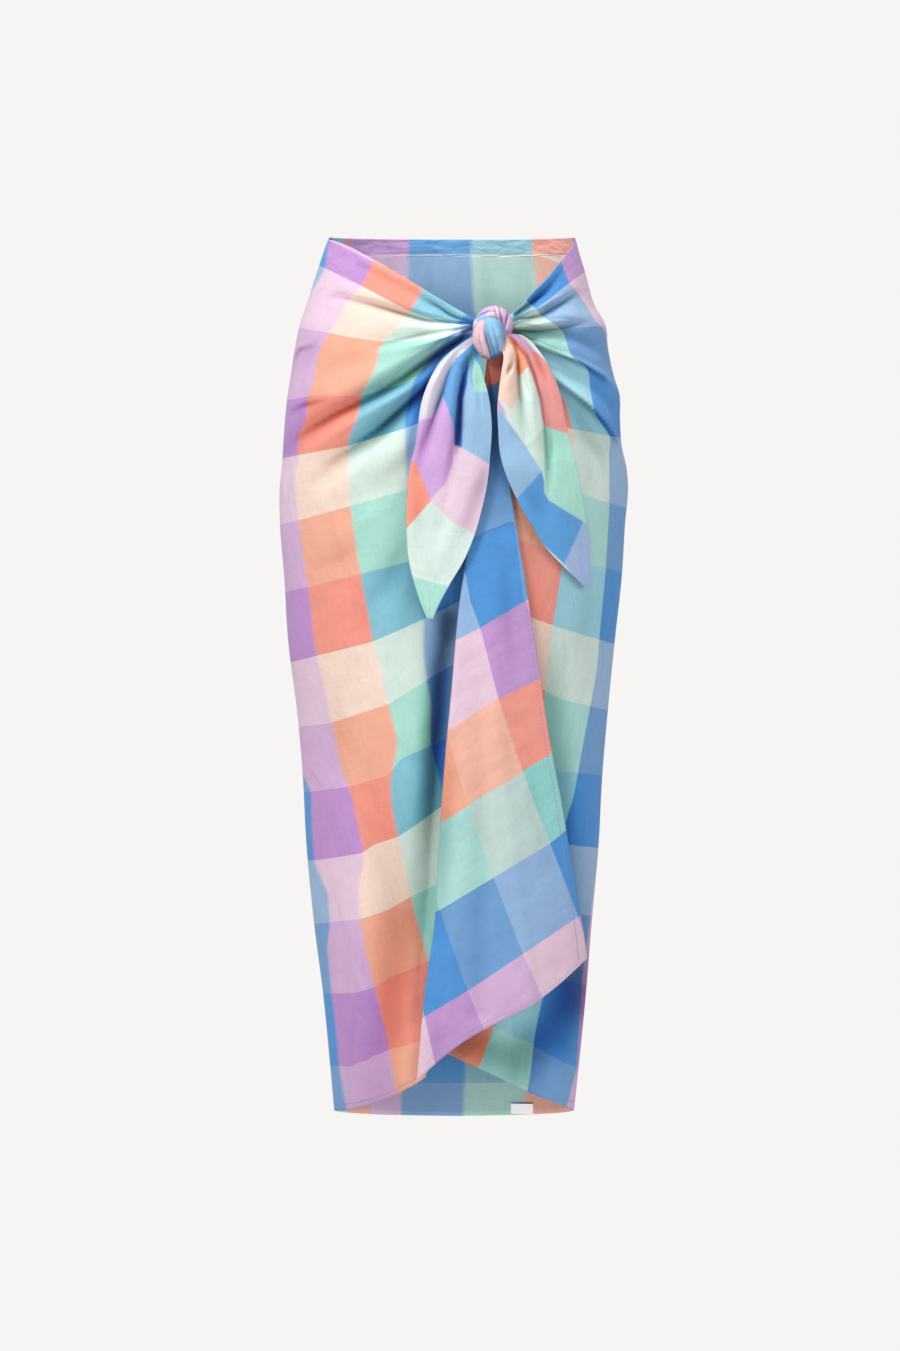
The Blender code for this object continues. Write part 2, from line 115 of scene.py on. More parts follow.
# The hollow form: its outline seen from the front, and how far its front and back stand out.
FORM = Table(
    "down left right front back",
    (-5, -124, 121, 83, 90),
    (0, -126, 122, 84, 91),
    (35, -138, 132, 94, 99),
    (66, -148, 141, 102, 106),
    (84, -154, 151, 106, 110),
    (108, -159, 154, 110, 115),
    (140, -164, 161, 114, 120),
    (152, -166, 165, 115, 122),
    (180, -169, 166, 117, 125),
    (208, -171, 168, 118, 127),
    (225, -172, 172, 119, 128),
    (243, -174, 174, 119, 128),
    (285, -174, 171, 119, 127),
    (334, -170, 168, 118, 124),
    (399, -166, 161, 115, 118),
    (480, -156, 153, 110, 110),
    (540, -151, 148, 106, 105),
    (599, -148, 145, 102, 100),
    (691, -139, 137, 96, 93),
    (753, -131, 132, 92, 89),
    (824, -124, 125, 87, 84),
    (880, -119, 119, 84, 81),
)

# Rows of the front left stretch, from the waist edge to the hem. Each row leaves the side
# at the height named side and runs to its inner end; bow bends it.
LEFT_ROWS = stepped(
    "side inner_x inner_down bow inner_lift",
    (0, 21, 83, 1.3, 15),
    (24, 22, 88, 1.25, 16),
    (52, 23, 93, 1.2, 17),
    (84, 24, 99, 1.15, 16),
    (122, 24, 106, 1, 13),
    (165, 24, 124, 1, 6),
    (212, 24, 160, 1, 0),
    (262, 22, 215, 1, -5),
    (318, 19, 280, 1, -8),
    (378, 13, 345, 1, -9),
    (440, 8, 415, 1, -9),
    (500, 4, 480, 1, -8),
    (560, 1, 545, 1, -6),
    (620, -2, 605, 1, -5),
    (680, -5, 665, 1, -4),
    (745, -15, 725, 1.1, -3),
    (810, -24, 785, 1.4, -2),
    (870, -28, 835, 1.9, -1),
)

# Rows of the front right stretch, which runs on behind the overlap.
UNDER_ROWS = stepped(
    "side inner_x inner_down bow inner_lift",
    (1, 52, 77, 1, 14),
    (26, 51, 82, 1, 15),
    (52, 50, 87, 1, 15),
    (80, 49, 92, 1, 14),
    (110, 48, 98, 1, 10),
    (145, 46, 118, 1, 2),
    (190, 43, 160, 1, -6),
    (240, 39, 215, 1, -10),
    (295, 33, 275, 1, -13),
    (355, 27, 340, 1, -14),
    (420, 20, 405, 1, -14),
    (485, 14, 470, 1, -13),
    (550, 9, 535, 1, -11),
    (615, 5, 600, 1, -9),
    (680, 1, 660, 1, -7),
    (745, -4, 715, 1, -6),
    (808, -7, 765, 1.05, -5),
    (868, -8, 811, 1.15, -4),
)

# Rows of the overlap, from under the knot to its slanting hem. Roll is the radius at which
# its left edge turns under.
OVERLAP_ROWS = stepped(
    "left_x left_down right_x right_down wave left_lift right_lift roll",
    (32, 112, 44, 112, 0, 16, 16, 2.6),
    (29, 140, 44, 134, 0, 14, 13, 2.6),
    (24, 190, 45, 172, 0, 11, 9, 3),
    (18, 260, 52, 234, 0, 9, 7, 3.2),
    (11, 320, 61, 292, 0, 8, 6, 3.4),
    (3.5, 378, 71, 352, 0, 9, 5, 3.6),
    (-2.5, 450, 82.5, 430, 0, 10, 5, 3.8),
    (-8, 510, 92, 495, 0, 11, 5, 4),
    (-12.5, 570, 103, 555, 0, 12, 5, 4),
    (-16, 625, 111.5, 605, 0, 12, 4.5, 4),
    (-19, 685, 119.5, 653, 2, 12, 4, 4),
    (-28, 750, 125.5, 688, 4, 11, 4, 3.8),
    (-36, 839, 129.5, 717.5, 6, 9, 4, 3.4),
)

# Rows of the two tied ends, from inside the knot to their tips.
TAIL_LEFT_ROWS = stepped(
    "left_x left_down right_x right_down lift",
    (22, 96, 28, 112, 25),
    (2, 110, 26, 127, 25),
    (-14, 124, 30, 142, 23),
    (-25, 144, 35, 162, 21),
    (-33, 168, 37.5, 188, 20),
    (-38, 205, 36, 216, 18),
    (-45, 235, 33, 245, 17),
    (-47, 267, 27, 273, 16),
    (-47, 293, 20, 297, 15),
    (-45, 320, 10, 321, 14),
    (-40, 342, -3, 343, 13),
    (-34, 361, -13, 361, 13),
    (-27, 379, -21, 379, 13),
)
TAIL_RIGHT_ROWS = stepped(
    "left_x left_down right_x right_down lift",
    (45, 110, 50, 96, 25),
    (49, 119, 70, 99, 25),
    (47, 134, 86, 115, 23),
    (44.6, 152, 97, 134, 21),
    (43, 171, 105, 154, 20),
    (44, 192, 111, 182, 18),
    (45.5, 214, 117, 208, 16),
    (51.6, 236.5, 123, 234, 15),
    (62, 259.5, 128, 258, 14),
    (75, 282.5, 132, 282, 13),
    (91, 308, 135, 306, 12),
    (110, 328, 136, 326, 12),
    (130, 347, 136, 349, 12),
)

# The band of cloth that comes over the top of the knot.
BAND_PATH = stepped(
    "x down lift",
    (30, 102, 16),
    (26, 91, 19),
    (29, 82.5, 22),
    (35, 77, 24),
    (42, 76, 24),
    (48.5, 80.5, 22),
    (51, 90, 20),
    (45, 102, 19),
)

# A fold is a ridge where its lifts are above zero and a trough where they are below. A row
# gives its lifts at the start, middle and finish, its widths on the upper and the lower side,
# and then the x and down of each point of its path. A fold that runs down the cloth has its
# right side first.
Fold = namedtuple("Fold", "start middle finish above below path")
FOLD_SIZES = 5


def fold_rows(*rows):
    return [Fold(*row[:FOLD_SIZES], pairs(row[FOLD_SIZES:])) for row in rows]


def pairs(values):
    return np.array(values, dtype=float).reshape(-1, 2)


LEFT_FOLDS = fold_rows(
    (3, 3.5, 3, 9, 6, -90, 22, -42, 46, -6, 68, 14, 80),
    (-1, -4, -5, 5, 6, -118, 56, -69, 70, -23, 83, 16, 87),
    (0, -3, -4.5, 6, 8, -106, 97, -69, 104, -24, 95, 18, 92),
    (0, 4, 5, 10, 7, -124, 118, -80, 114, -30, 104, 14, 95),
    (-2, -8, -7, 9, 11, -164, 206, -118, 172, -69, 149, -33, 131, 14, 100),
    (0, 6, 4, 10, 9, -158, 222, -112, 189, -64, 163, -27, 143, 6, 118),
    (0, -7, -6, 9, 11, -146, 250, -86, 201, -47, 166, -24, 145, 4, 124),
    (0, 4.5, 3, 14, 12, -118, 262, -66, 222, -30, 192, 2, 160),
    (-1, -4.5, 0, 12, 9, -47, 300, -64, 340, -80, 378),
    (0, 5, 3, 14, 20, -20, 420, -32, 500, -46, 600, -50, 660),
    (0, -4, -3, 16, 18, -78, 480, -76, 580, -68, 680, -62, 800),
    (0, 3.5, 4, 18, 18, -104, 540, -98, 660, -88, 860),
    (0, 4, 4, 12, 14, -34, 690, -44, 760, -50, 840),
)

UNDER_FOLDS = fold_rows(
    (-3, -2.5, 0, 6, 6, 62, 76, 78, 63, 98, 44),
    (-3, -4, 0, 7, 7, 62, 84, 87, 77, 98, 68, 127, 54),
    (4, 5, 2, 8, 7, 60, 88, 98, 80, 119, 79, 148, 84),
    (-4, -5, -2, 6, 7, 60, 95, 100, 96, 130, 103, 156, 118),
    (3, 6.5, 3, 13, 5, 66, 99, 90, 110, 117, 118, 135, 127, 160, 145),
    (-2, -5, -2, 5, 8, 72, 110, 104, 127, 138, 150, 162, 172),
    (1, 6, 2.5, 13, 5, 88, 132, 114, 153, 139, 175, 155, 192, 168, 214),
    (0, -5, -1.5, 6, 12, 96, 152, 124, 180, 148, 212, 160, 244),
    (0, 3.5, 0, 16, 14, 112, 196, 128, 240, 136, 300, 134, 360),
    (0, -3, -2, 18, 16, 112, 330, 112, 450, 106, 600, 112, 760),
    (0, 3, 3, 16, 16, 134, 420, 128, 560, 122, 680, 118, 840),
    (0, -3, -3, 12, 14, 74, 740, 78, 790, 82, 850),
    (0, 3, 3, 12, 12, 46, 730, 46, 780, 44, 840),
)

OVERLAP_FOLDS = fold_rows(
    (0, 3.5, 3, 10, 12, 36, 230, 36, 380, 44, 520, 60, 660, 72, 760),
    (0, -4, -3, 10, 12, 22, 400, 24, 520, 28, 640, 24, 770),
    (0, -3, -2, 10, 12, 66, 440, 82, 560, 98, 640, 104, 720),
    (0, 3, 3.5, 10, 12, 2, 560, 0, 660, -10, 780),
)

BACK_FOLDS = fold_rows(
    (0, 3, 0, 14, 14, -150, 120, -90, 170, -20, 196, 60, 190),
    (0, -3.5, 0, 12, 14, 160, 110, 110, 150, 50, 168, -20, 164),
    (0, -4, -3, 18, 20, -96, 260, -92, 480, -84, 700, -76, 868),
    (0, 4, 3, 20, 20, -60, 300, -54, 520, -48, 700, -40, 870),
    (0, -3.5, -3, 18, 22, -8, 330, -6, 560, 0, 870),
    (0, 4, 3, 20, 20, 46, 300, 42, 520, 40, 870),
    (0, -4, -3, 18, 20, 90, 250, 86, 480, 78, 700, 74, 868),
    (0, 3, 2, 16, 16, 128, 220, 118, 460, 104, 860),
    (0, 3, 2, 16, 16, -132, 220, -122, 460, -106, 860),
)

# Creases only show close to: sharp valleys that are narrow at the knot and open away from it.
LEFT_CREASES = fold_rows(
    (-0.5, -2.2, -1.6, 2.6, 4.5, -128, 56.5, -109, 59, -84, 66, -54, 75, -29, 82, -18, 85.5, 1, 86, 18,
     86),
    (0, -2, -2, 3, 4, -39, 60, -14, 70, 1, 80, 16, 84),
    (0, 1.6, 1.5, 4, 4, -60, 62, -30, 74, 0, 83, 16, 85),
    (-1, -3.4, -2.6, 5, 7, -74, 106, -49, 101, -29, 95, -14, 93, 1, 92, 20, 89),
    (0, -2.6, -1.5, 9, 12, -140, 136, -104, 118, -79, 110, -60, 104),
    (0, 2.4, 2, 5, 5, -60, 90, -34, 88, -10, 88.5, 16, 87.5),
    (-1.5, -2.2, -2.6, 3, 4, -22, 113, -14, 105, -1, 98, 20, 90.5),
    (-2, -7, -5, 7, 9, -166, 208, -149, 192, -114, 173, -84, 158, -54, 142, -42, 134, -24, 122, -9, 110,
     4, 101, 21, 91),
    (0, 4, 3, 12, 7, -154, 184, -114, 160, -74, 136, -34, 114, 6, 96),
    (0, 4.5, 3, 9, 9, -139, 214, -109, 193, -79, 172, -49, 152, -24, 134, 1, 114),
    (-1, -6.5, -5, 9, 12, -144, 250, -114, 217, -94, 203, -74, 189, -59, 176, -46, 166, -30, 152, -9,
     131),
    (0, 3.5, 2, 12, 12, -140, 268, -96, 232, -60, 204, -44, 184),
    (0, -2, 0, 7, 9, -170, 174, -149, 168, -120, 162),
    (0, -1.8, 0, 8, 10, -166, 130, -144, 116, -120, 108),
    (0, 1.6, 0, 8, 7, -136, 300, -100, 290, -60, 262, -44, 236),
    (0, -2, 0, 8, 9, -150, 330, -120, 322, -84, 300),
    (0, -2, 0, 9, 9, -66, 300, -74, 336, -88, 372, -96, 410),
    (0, 1.8, 0, 8, 8, -40, 330, -52, 372, -60, 420),
    (0, -1.6, 0, 8, 8, -120, 430, -118, 480, -112, 540),
    (0, -2, -1.2, 7, 8, -96, 700, -100, 780, -104, 866),
    (0, 1.6, 1.4, 7, 8, -76, 740, -78, 800, -80, 860),
    (0, -1.6, 0, 10, 8, -60, 500, -40, 520, -16, 512),
    (-3, -7, -2, 9, 13, -6, 372, -13, 430, -18, 500, -22, 570, -26, 640, -34, 720, -40, 780),
)
UNDER_CREASES = fold_rows(
    (-3, -4.5, 0, 3, 4, 58, 77, 68, 69, 76, 63, 91, 51, 104, 38, 114, 24),
    (2, 3, 0, 4, 4, 56, 74, 72, 61, 90, 44, 108, 26),
    (-2, -4.5, -1, 3, 5, 58, 80, 74, 79, 86, 77, 98, 70, 111, 63, 126, 53),
    (2, 3.5, 0, 4, 4, 58, 78, 84, 70, 102, 60, 124, 46),
    (-2, -3, 0, 3, 4, 58, 86, 76, 83, 99, 80, 121, 80.5, 141, 83),
    (1.5, 3, 0, 5, 4, 58, 90, 80, 87, 100, 84, 116, 83),
    (-3, -5, -1, 4, 5, 58, 95, 81, 92, 103, 89, 121, 86, 140, 81),
    (-2, -5.5, -2, 8, 3, 51, 93, 66, 96, 81, 102, 96, 110, 117, 116.5, 136, 125, 158, 136),
    (2, 4, 2, 3, 8, 54, 96, 66, 101, 81, 107, 96, 115, 117, 121, 136, 130, 160, 142),
    (1, 4.5, 2, 9, 3, 90, 134, 111, 147, 126, 159, 138, 172, 151, 184, 166, 202),
    (-1, -4, -1.5, 3, 9, 90, 139, 111, 152, 126, 165, 138, 178, 151, 191, 164, 206),
    (0, -2, 0, 6, 8, 128, 192, 136, 230, 140, 280),
    (0, 2, 0, 8, 8, 108, 240, 122, 270, 128, 330),
    (0, -2, 0, 8, 8, 96, 400, 98, 460, 94, 520),
    (0, -1.8, 0, 8, 8, 140, 300, 132, 380, 128, 460),
    (0, -1.6, -1.2, 6, 6, 58, 750, 60, 790, 62, 840),
)
OVERLAP_CREASES = fold_rows(
    (-1, -3, -1, 2, 2, 31, 120, 34, 145, 37, 170),
    (0, -1.8, 0, 6, 7, 48, 300, 54, 380, 62, 460),
    (0, 1.6, 0, 7, 7, 14, 440, 12, 520, 14, 600),
    (0, -1.8, 0, 7, 7, 44, 580, 56, 660, 66, 740),
    (0, -1.8, -1.6, 6, 7, -4, 700, -12, 760, -20, 820),
    (0, 1.6, 1.6, 7, 7, 86, 600, 96, 660, 104, 712),
)
BACK_CREASES = fold_rows(
    (0, -2.6, 0, 9, 11, -140, 150, -80, 214, -20, 236),
    (0, 2.4, 0, 9, 9, 148, 150, 96, 196, 40, 216),
    (0, -2.2, 0, 9, 11, -146, 236, -90, 290, -30, 306),
    (-1, -1.2, 0, 6, 6, -70, 0, -66, 60, -70, 110),
    (0.8, 1.2, 0, 7, 7, -20, 0, -22, 70, -20, 120),
    (-1, -1.2, 0, 7, 7, 30, 0, 34, 60, 30, 120),
    (0.8, 1.2, 0, 7, 7, 78, 0, 80, 60, 84, 110),
    (0, -2.6, -1, 9, 11, -30, 400, -34, 560, -24, 780),
    (0, 2.4, 1, 9, 9, 18, 460, 20, 620, 16, 800),
    (0, -2.2, -1, 9, 10, 78, 440, 84, 620, 92, 820),
)

TAIL_LEFT_FOLDS = fold_rows(
    (2, 6, 1, 6, 5, 17, 100, 5, 111, -10.5, 127.5, -22, 150, -29, 176, -34, 200),
    (-2, -8, -2, 4, 4, 17, 106, 6, 113, -2, 124, -8, 138, -13, 155, -18, 170, -24, 190, -30, 210, -36,
     236),
    (1, 4, 0, 8, 6, 14, 112, 4, 126, -2, 145, -4, 165, -12, 206, -22, 240),
    (-2, -8, -1, 4, 5, 17, 114, 14, 125, 10, 140, 6, 160, 5, 180, 4, 200, -2, 226, -8, 262),
    (1, 3.5, 0, 8, 8, 23, 126, 20, 150, 18, 190, 14, 230),
    (-1.5, -3, 0, 2.4, 3, 22, 112, 22, 130, 25, 150, 27, 178),
    (0, -2.4, 0, 6, 5, -34, 236, -36, 270, -34, 310, -32, 330),
    (0, -2, 0, 7, 6, -8, 256, -14, 290, -20, 320),
    (0, 2, 0, 9, 8, 2, 250, -6, 296, -20, 340),
)
TAIL_RIGHT_FOLDS = fold_rows(
    (1, 5, 1, 7, 6, 53, 104, 54, 118, 52, 136, 53, 160, 58, 190),
    (-1, -3, -0.5, 2, 3, 59, 121, 57, 130, 52, 140),
    (-2, -8, -0.5, 3.2, 4, 61, 108, 63, 120, 64.5, 138, 65.5, 158, 69, 186, 76, 214),
    (1, 4, 0.5, 5, 6, 64, 108, 70, 124, 75, 150, 79, 184, 86, 220),
    (-1, -2.4, 0, 2.6, 2.6, 66, 124, 71, 146, 78, 176),
    (-1, -3.4, 0, 2.4, 3, 56, 93, 70, 103, 82, 121, 90, 142, 98, 170),
    (0, 2.4, 0, 4, 4, 64, 94, 82, 112, 94, 136, 103, 166),
    (0, -3, 0, 4, 8, 93, 176, 96, 210, 98, 250),
    (0, -2, 0, 8, 8, 66, 246, 80, 262, 98, 290),
    (0, 1.8, 0, 9, 8, 88, 240, 104, 270, 120, 310),
)

# The front leaf of the right end lies on its back strip: the leaf's edge, and its height.
LEAF_EDGE = Table(
    "down x",
    (96, 62),
    (107, 68),
    (123.5, 74),
    (142, 81),
    (162, 87),
    (180, 89.5),
    (204, 91),
    (229, 91),
    (252, 93),
    (300, 112),
    (350, 138),
)
LEAF_HEIGHT = 4.5
LEAF_SLOPE = 1.6
LEAF_END = 262
LEAF_FADE = 34

KNOT_FOLDS = fold_rows(
    (-1, -4, -3, 1.6, 2.4, 31, 82, 30, 94, 33, 106, 36, 116, 38, 123),
    (1, 2.6, 1, 6, 5, 25, 88, 24, 100, 26, 110, 32, 118),
    (1.5, 3.4, 1, 6, 5, 36, 82, 42, 92, 46, 104, 45, 116),
    (-0.5, -2.4, -1.8, 1.4, 1.8, 34, 98, 37, 108, 41, 120),
    (0, -2, 0, 1.3, 1.6, 41, 102, 44, 109, 45.5, 115),
    (0, -1.2, 0, 1.4, 1.6, 27, 104, 28, 113, 30, 120),
)
BAND_FOLDS = fold_rows(
    (-1, -3, -1, 1.4, 1.8, 45, 68, 46, 76, 47.6, 86, 50, 95),
    (-1, -2.6, -1, 1.4, 1.8, 54, 73, 53, 80, 50.5, 90),
    (-0.6, -1.8, -0.6, 1.8, 2, 16, 84, 24, 79, 33, 74, 40, 74),
    (-0.5, -1.4, -0.5, 1.4, 1.6, 39, 66, 41, 74, 43, 84),
    (0.6, 2, 0.6, 3.5, 3.5, 20, 79, 30, 71, 39, 68),
)

# Painted shade on cloth deep in the gathers and beside the overlap: strips as folds, with darkness
# for their lifts. Lines are the thinnest of them, in the valleys of the creases. A lift below zero
# paints the cloth lighter instead: painted highlights along ridges, and painted light on open cloth.
LEFT_SHADES = fold_rows(
    (1.6, 2.2, 0.1, 9, 11, -6, 380, -13, 430, -18, 490, -22, 540, -28, 600),
    (0, 0.6, 0.5, 20, 24, -20, 500, -40, 600, -56, 700, -70, 800, -76, 860),
    (0.9, 1.2, 0, 3, 4, 14, 98, 0, 108, -14, 124, -26, 146, -34, 170, -42, 200, -52, 240),
    (0.2, 0.5, 0, 20, 20, -30, 250, -44, 330, -40, 420),
    (0, -0.9, -1.2, 7, 8, -40, 84, -10, 89, 14, 91),
)
LEFT_LINES = fold_rows(
    (0, 2, 0.9, 1.2, 2, -128, 56.5, -109, 59, -84, 66, -54, 75, -29, 82, 16, 86),
    (0.2, 1.6, 0.8, 1, 1.8, -29, 60, -14, 70, -4, 77, 6, 81, 16, 84.5),
    (0, 1.5, 0.8, 1, 2.2, -84, 108, -54, 101, -30, 96, -10, 93, 16, 90),
    (0, 1.4, 0.5, 1, 2, -44, 112, -24, 106, -4, 99, 16, 92),
    (0.2, 2, 0.6, 1.2, 4.6, -154, 196, -114, 173, -79, 157, -54, 142, -24, 120, 18, 95),
    (0, 2, 1.6, 1.4, 4.6, -134, 228, -106, 212, -74, 190, -49, 168, -24, 146, 4, 116),
    (0, 1.4, 0.5, 1, 2, -32, 134, -14, 118, 2, 105, 16, 95),
    (0, 1.1, 0, 2, 2.4, -164, 125, -154, 110, -134, 105),
    (0, 1.1, 0, 2, 2.6, -166, 173, -149, 165, -124, 160),
    (-0.1, -0.6, -0.6, 3, 1, -150, 189, -114, 168, -79, 152, -54, 137, -24, 115, 4, 98),
    (-0.1, -0.5, -0.5, 3, 1, -109, 208, -74, 185, -49, 163, -24, 141, -4, 122),
    (0, -0.5, -0.6, 2.4, 1, -54, 97, -30, 92, -4, 88.5, 16, 88),
)
UNDER_SHADES = fold_rows(
    (1.3, 0.8, 0.2, 8, 8, 50, 92, 80, 92, 110, 90),
    (0.8, 0.8, 0.2, 8, 10, 56, 100, 80, 118, 98, 150, 104, 190, 104, 240),
    (0.2, 1, 0.9, 18, 20, 60, 300, 88, 420, 104, 560, 116, 680, 122, 760),
    (1.2, 1.4, 1.8, 24, 20, 120, 740, 96, 790, 60, 816, 16, 802),
)
UNDER_LINES = fold_rows(
    (1.8, 1.6, 0, 1.2, 1.6, 60, 77, 76, 65, 91, 55, 101, 43),
    (1.8, 1.8, 0, 1, 2, 60, 82, 86, 78, 98, 72, 111, 62, 124, 53),
    (1.6, 1, 0, 1.2, 1.4, 56, 88, 72, 86, 92, 90),
    (1.8, 1.6, 0, 1, 2, 54, 92, 81, 93, 106, 90, 130, 84),
    (1, 2, 0.6, 1.2, 3, 60, 94, 70, 98, 86, 108, 101, 114, 131, 127, 150, 140),
    (0.3, 2, 0.8, 1.2, 4, 92, 137, 98, 140, 111, 150, 126, 161, 139, 172, 151, 185, 162, 200),
    (-0.2, -0.5, -0.3, 3, 1, 96, 136, 111, 146, 126, 157, 139, 168, 151, 180),
    (-0.3, -0.4, -0.2, 2.6, 1, 60, 90, 81, 89, 106, 86),
)
OVERLAP_SHADES = fold_rows(
    (0.6, 1.6, 0.3, 20, 20, 34, 120, 36, 180, 40, 262),
    (0.2, 0.8, 0, 12, 12, -8, 500, -14, 600, -22, 700),
)
# Painted light: the back's cloth is made lighter near the waist and near the hem, so that its inside
# looks lit.
BACK_PAINTED_LIGHT = fold_rows(
    (-0.7, -0.8, -0.7, 60, 46, -140, 22, 0, 26, 140, 22),
    (-0.4, -0.45, -0.4, 60, 40, -120, 862, 0, 868, 110, 862),
)
TAIL_LEFT_SHADES = fold_rows(
    (1.6, 0.8, 0, 5, 6, 22, 112, 16, 122, 8, 134),
    (0, 0.9, 0.4, 7, 7, 38, 200, 28, 240, 10, 290),
    (0.5, 1.6, 0.4, 2.2, 2.6, 18, 116, 10, 132, 7, 160, 7, 186, 2, 214),
)
TAIL_RIGHT_SHADES = fold_rows(
    (1.4, 0.8, 0, 4, 5, 46, 92, 58, 100, 68, 112),
    (0.4, 2.2, 0.3, 1.8, 2.2, 60, 106, 63, 120, 64.5, 138, 64.8, 156),
    (0.2, 1.5, 0.2, 1.4, 1.6, 58, 124, 55, 130, 52, 138),
    (0.8, 1.4, 0.4, 1.4, 2.6, 57, 101, 73, 119, 80, 137, 86, 162, 90, 190, 94, 230),
)
KNOT_SHADES = fold_rows(
    (0.4, 1.4, 0.8, 0.6, 0.9, 30, 84, 30, 94, 33, 106, 36, 116, 38, 123),
    (0.3, 1, 0.6, 0.5, 0.8, 33, 88, 34, 98, 37, 108, 41, 120),
    (0.2, 0.8, 0.4, 0.5, 0.7, 36, 84, 40, 96, 43, 108, 44, 116),
    (0.2, 0.8, 0.5, 0.6, 0.8, 26, 90, 25, 102, 28, 116),
    (1, 1.4, 1, 3, 4, 20, 112, 26, 120, 36, 123, 48, 116),
    (0, 0.8, 0.8, 3, 3, 40, 82, 48, 92, 52, 106),
)
BAND_SHADES = fold_rows(
    (0.6, 2, 1.2, 0.7, 1, 44, 69, 46, 76, 47.6, 86, 50, 95),
    (0.6, 1.8, 1.2, 0.7, 1, 54, 73, 53, 80, 50.5, 90),
    (0.6, 1.5, 1, 0.6, 0.8, 38, 67, 41, 74, 43, 82),
    (0.4, 1.2, 0.9, 0.6, 0.8, 20, 82, 27, 77, 34, 74, 40, 74),
    (1.2, 1.5, 1.2, 1.2, 2.2, 20, 90, 28, 84, 36, 80, 44, 84, 51, 96),
)

CREASE_POWER = 1.35
# Painted shade: how much the depth of a crease or a fold darkens the cloth's colour, and the most
# painted shade anywhere.
CREASE_DARKNESS = 0.12
FOLD_DARKNESS = 0.05
DARKEST = 3.2
FOLD_POWER = 2
OPENING = 80
NARROWEST = 0.4
WIDEST = 1.25


def crease_lift(creases, x, down):
    """As fold_lift, for creases: cusped, narrow at the knot and wider away from it."""
    away = np.hypot(x - KNOT_CENTRE[0], down - KNOT_CENTRE[1])
    return fold_lift(creases, x, down, CREASE_POWER, np.clip(away / OPENING, NARROWEST, WIDEST))


def fold_lift(folds, x, down, power=FOLD_POWER, spread=1.0):
    """How far the folds raise or sink the cloth at points seen from the front."""
    lift = np.zeros_like(x)
    for fold in folds:
        steps = np.diff(fold.path, axis=0)
        lengths = np.hypot(steps[:, 0], steps[:, 1])
        nearest = np.full_like(x, np.inf)
        below = np.zeros_like(x, dtype=bool)
        along = np.zeros_like(x)
        for index, (point, step, length) in enumerate(zip(fold.path, steps, lengths)):
            across, under = x - point[0], down - point[1]
            part = np.clip((across * step[0] + under * step[1]) / length ** 2, 0, 1)
            off_x, off_down = across - part * step[0], under - part * step[1]
            distance = np.hypot(off_x, off_down)
            closer = distance < nearest
            nearest = np.where(closer, distance, nearest)
            below = np.where(closer, step[0] * off_down > step[1] * off_x, below)
            along = np.where(closer, lengths[:index].sum() + part * length, along)
        width = np.where(below, fold.below, fold.above)
        lifts = fold.start, fold.middle, fold.finish
        height = np.interp(along / lengths.sum(), (0, 0.5, 1), lifts)
        lift += height * np.exp(-(nearest / (width * spread)) ** power)
    return lift


def shade(points, folds, creases, shades):
    """How much painted shade the cloth has at points from lying deep in a fold: 0 is open cloth, and
    below zero it is painted lighter.
    """
    x, down = points[:, 0] / MM, -points[:, 2] / MM
    depth = -CREASE_DARKNESS * crease_lift(creases, x, down)
    depth -= FOLD_DARKNESS * fold_lift(folds, x, down)
    return np.clip(depth, 0, None) + fold_lift(shades, x, down)


def ease(part):
    part = np.clip(part, 0, 1)
    return part * part * (3 - 2 * part)


def middle_and_half(section):
    return (section.left + section.right) / 2, (section.right - section.left) / 2


def round_form(angle, down, lift):
    """Points round the hollow form: angle 0 is its left outline, a quarter turn its front."""
    section = FORM.at(down)
    middle, half = middle_and_half(section)
    depth = np.where(np.sin(angle) > 0, section.front, section.back)
    across, ahead = -np.cos(angle), -np.sin(angle)
    size = np.hypot(across * depth, ahead * half)
    x = middle + half * across + lift * across * depth / size
    y = depth * ahead + lift * ahead * half / size
    return np.stack([x, y, -down], axis=-1) * MM


def form_angle(x, down):
    """The angle at which the form's front has this x."""
    middle, half = middle_and_half(FORM.at(down))
    return np.arccos(np.clip((middle - x) / half, -1, 1))


def ahead_of_form(x, down, lift):
    """Points straight in front of the form, so that they keep their x."""
    y = -FORM.at(down).front * np.sin(form_angle(x, down)) - lift
    return np.stack([x, y, -down], axis=-1) * MM


def side_angle(side):
    return 0 if side < 0 else math.pi


def front_panel(rows, folds, creases, reach, side, across, fall):
    """A stretch between one side of the form, -1 or 1, and an inner end at the front."""
    row = rows.at(fall * rows.last())
    turn = np.abs(side_angle(side) - form_angle(row.inner_x, row.inner_down))
    from_side = np.interp(across if side < 0 else 1 - across, PANEL_PARTS, PANEL_PLACES)
    part = (1 - np.cos(from_side * turn)) / (1 - np.cos(turn))
    down = row.side + (row.inner_down - row.side) * part ** row.bow
    section = FORM.at(down)
    outer = section.left if side < 0 else section.right
    x = outer + (row.inner_x - outer) * part
    inner = ease(1 - np.abs(row.inner_x - x) / reach)
    raised = fold_lift(folds, x, down) + crease_lift(creases, x, down)
    lift = row.inner_lift * inner + raised * ease(part * SIDE_FADE)
    return round_form(form_angle(x, down), down, lift)


def front_left(across, fall):
    return front_panel(LEFT_ROWS, LEFT_FOLDS, LEFT_CREASES, LEFT_REACH, -1, across, fall)


def front_right(across, fall):
    return front_panel(UNDER_ROWS, UNDER_FOLDS, UNDER_CREASES, UNDER_REACH, 1, across, fall)


def back(across, fall):
    """The back and both sides, from the right outline round to the left one."""
    fall = np.interp(fall, BACK_PARTS, BACK_PLACES)
    sag = BACK_HEM_SAG * np.sin(math.pi * across)
    down = BACK_TOP + (BACK_HEM + sag - BACK_TOP) * fall
    angle = math.pi * (1 + across)
    middle, half = middle_and_half(FORM.at(down))
    x = middle - half * np.cos(angle)
    fade = ease(np.sin(math.pi * across) * BACK_FADE)
    lift = fold_lift(BACK_FOLDS + BACK_CREASES, x, down) * fade
    return round_form(angle, down, lift)


HOOK_BACK = 0.10
HOOK_FRONT = 0.30
HOOK_TUCK = 7


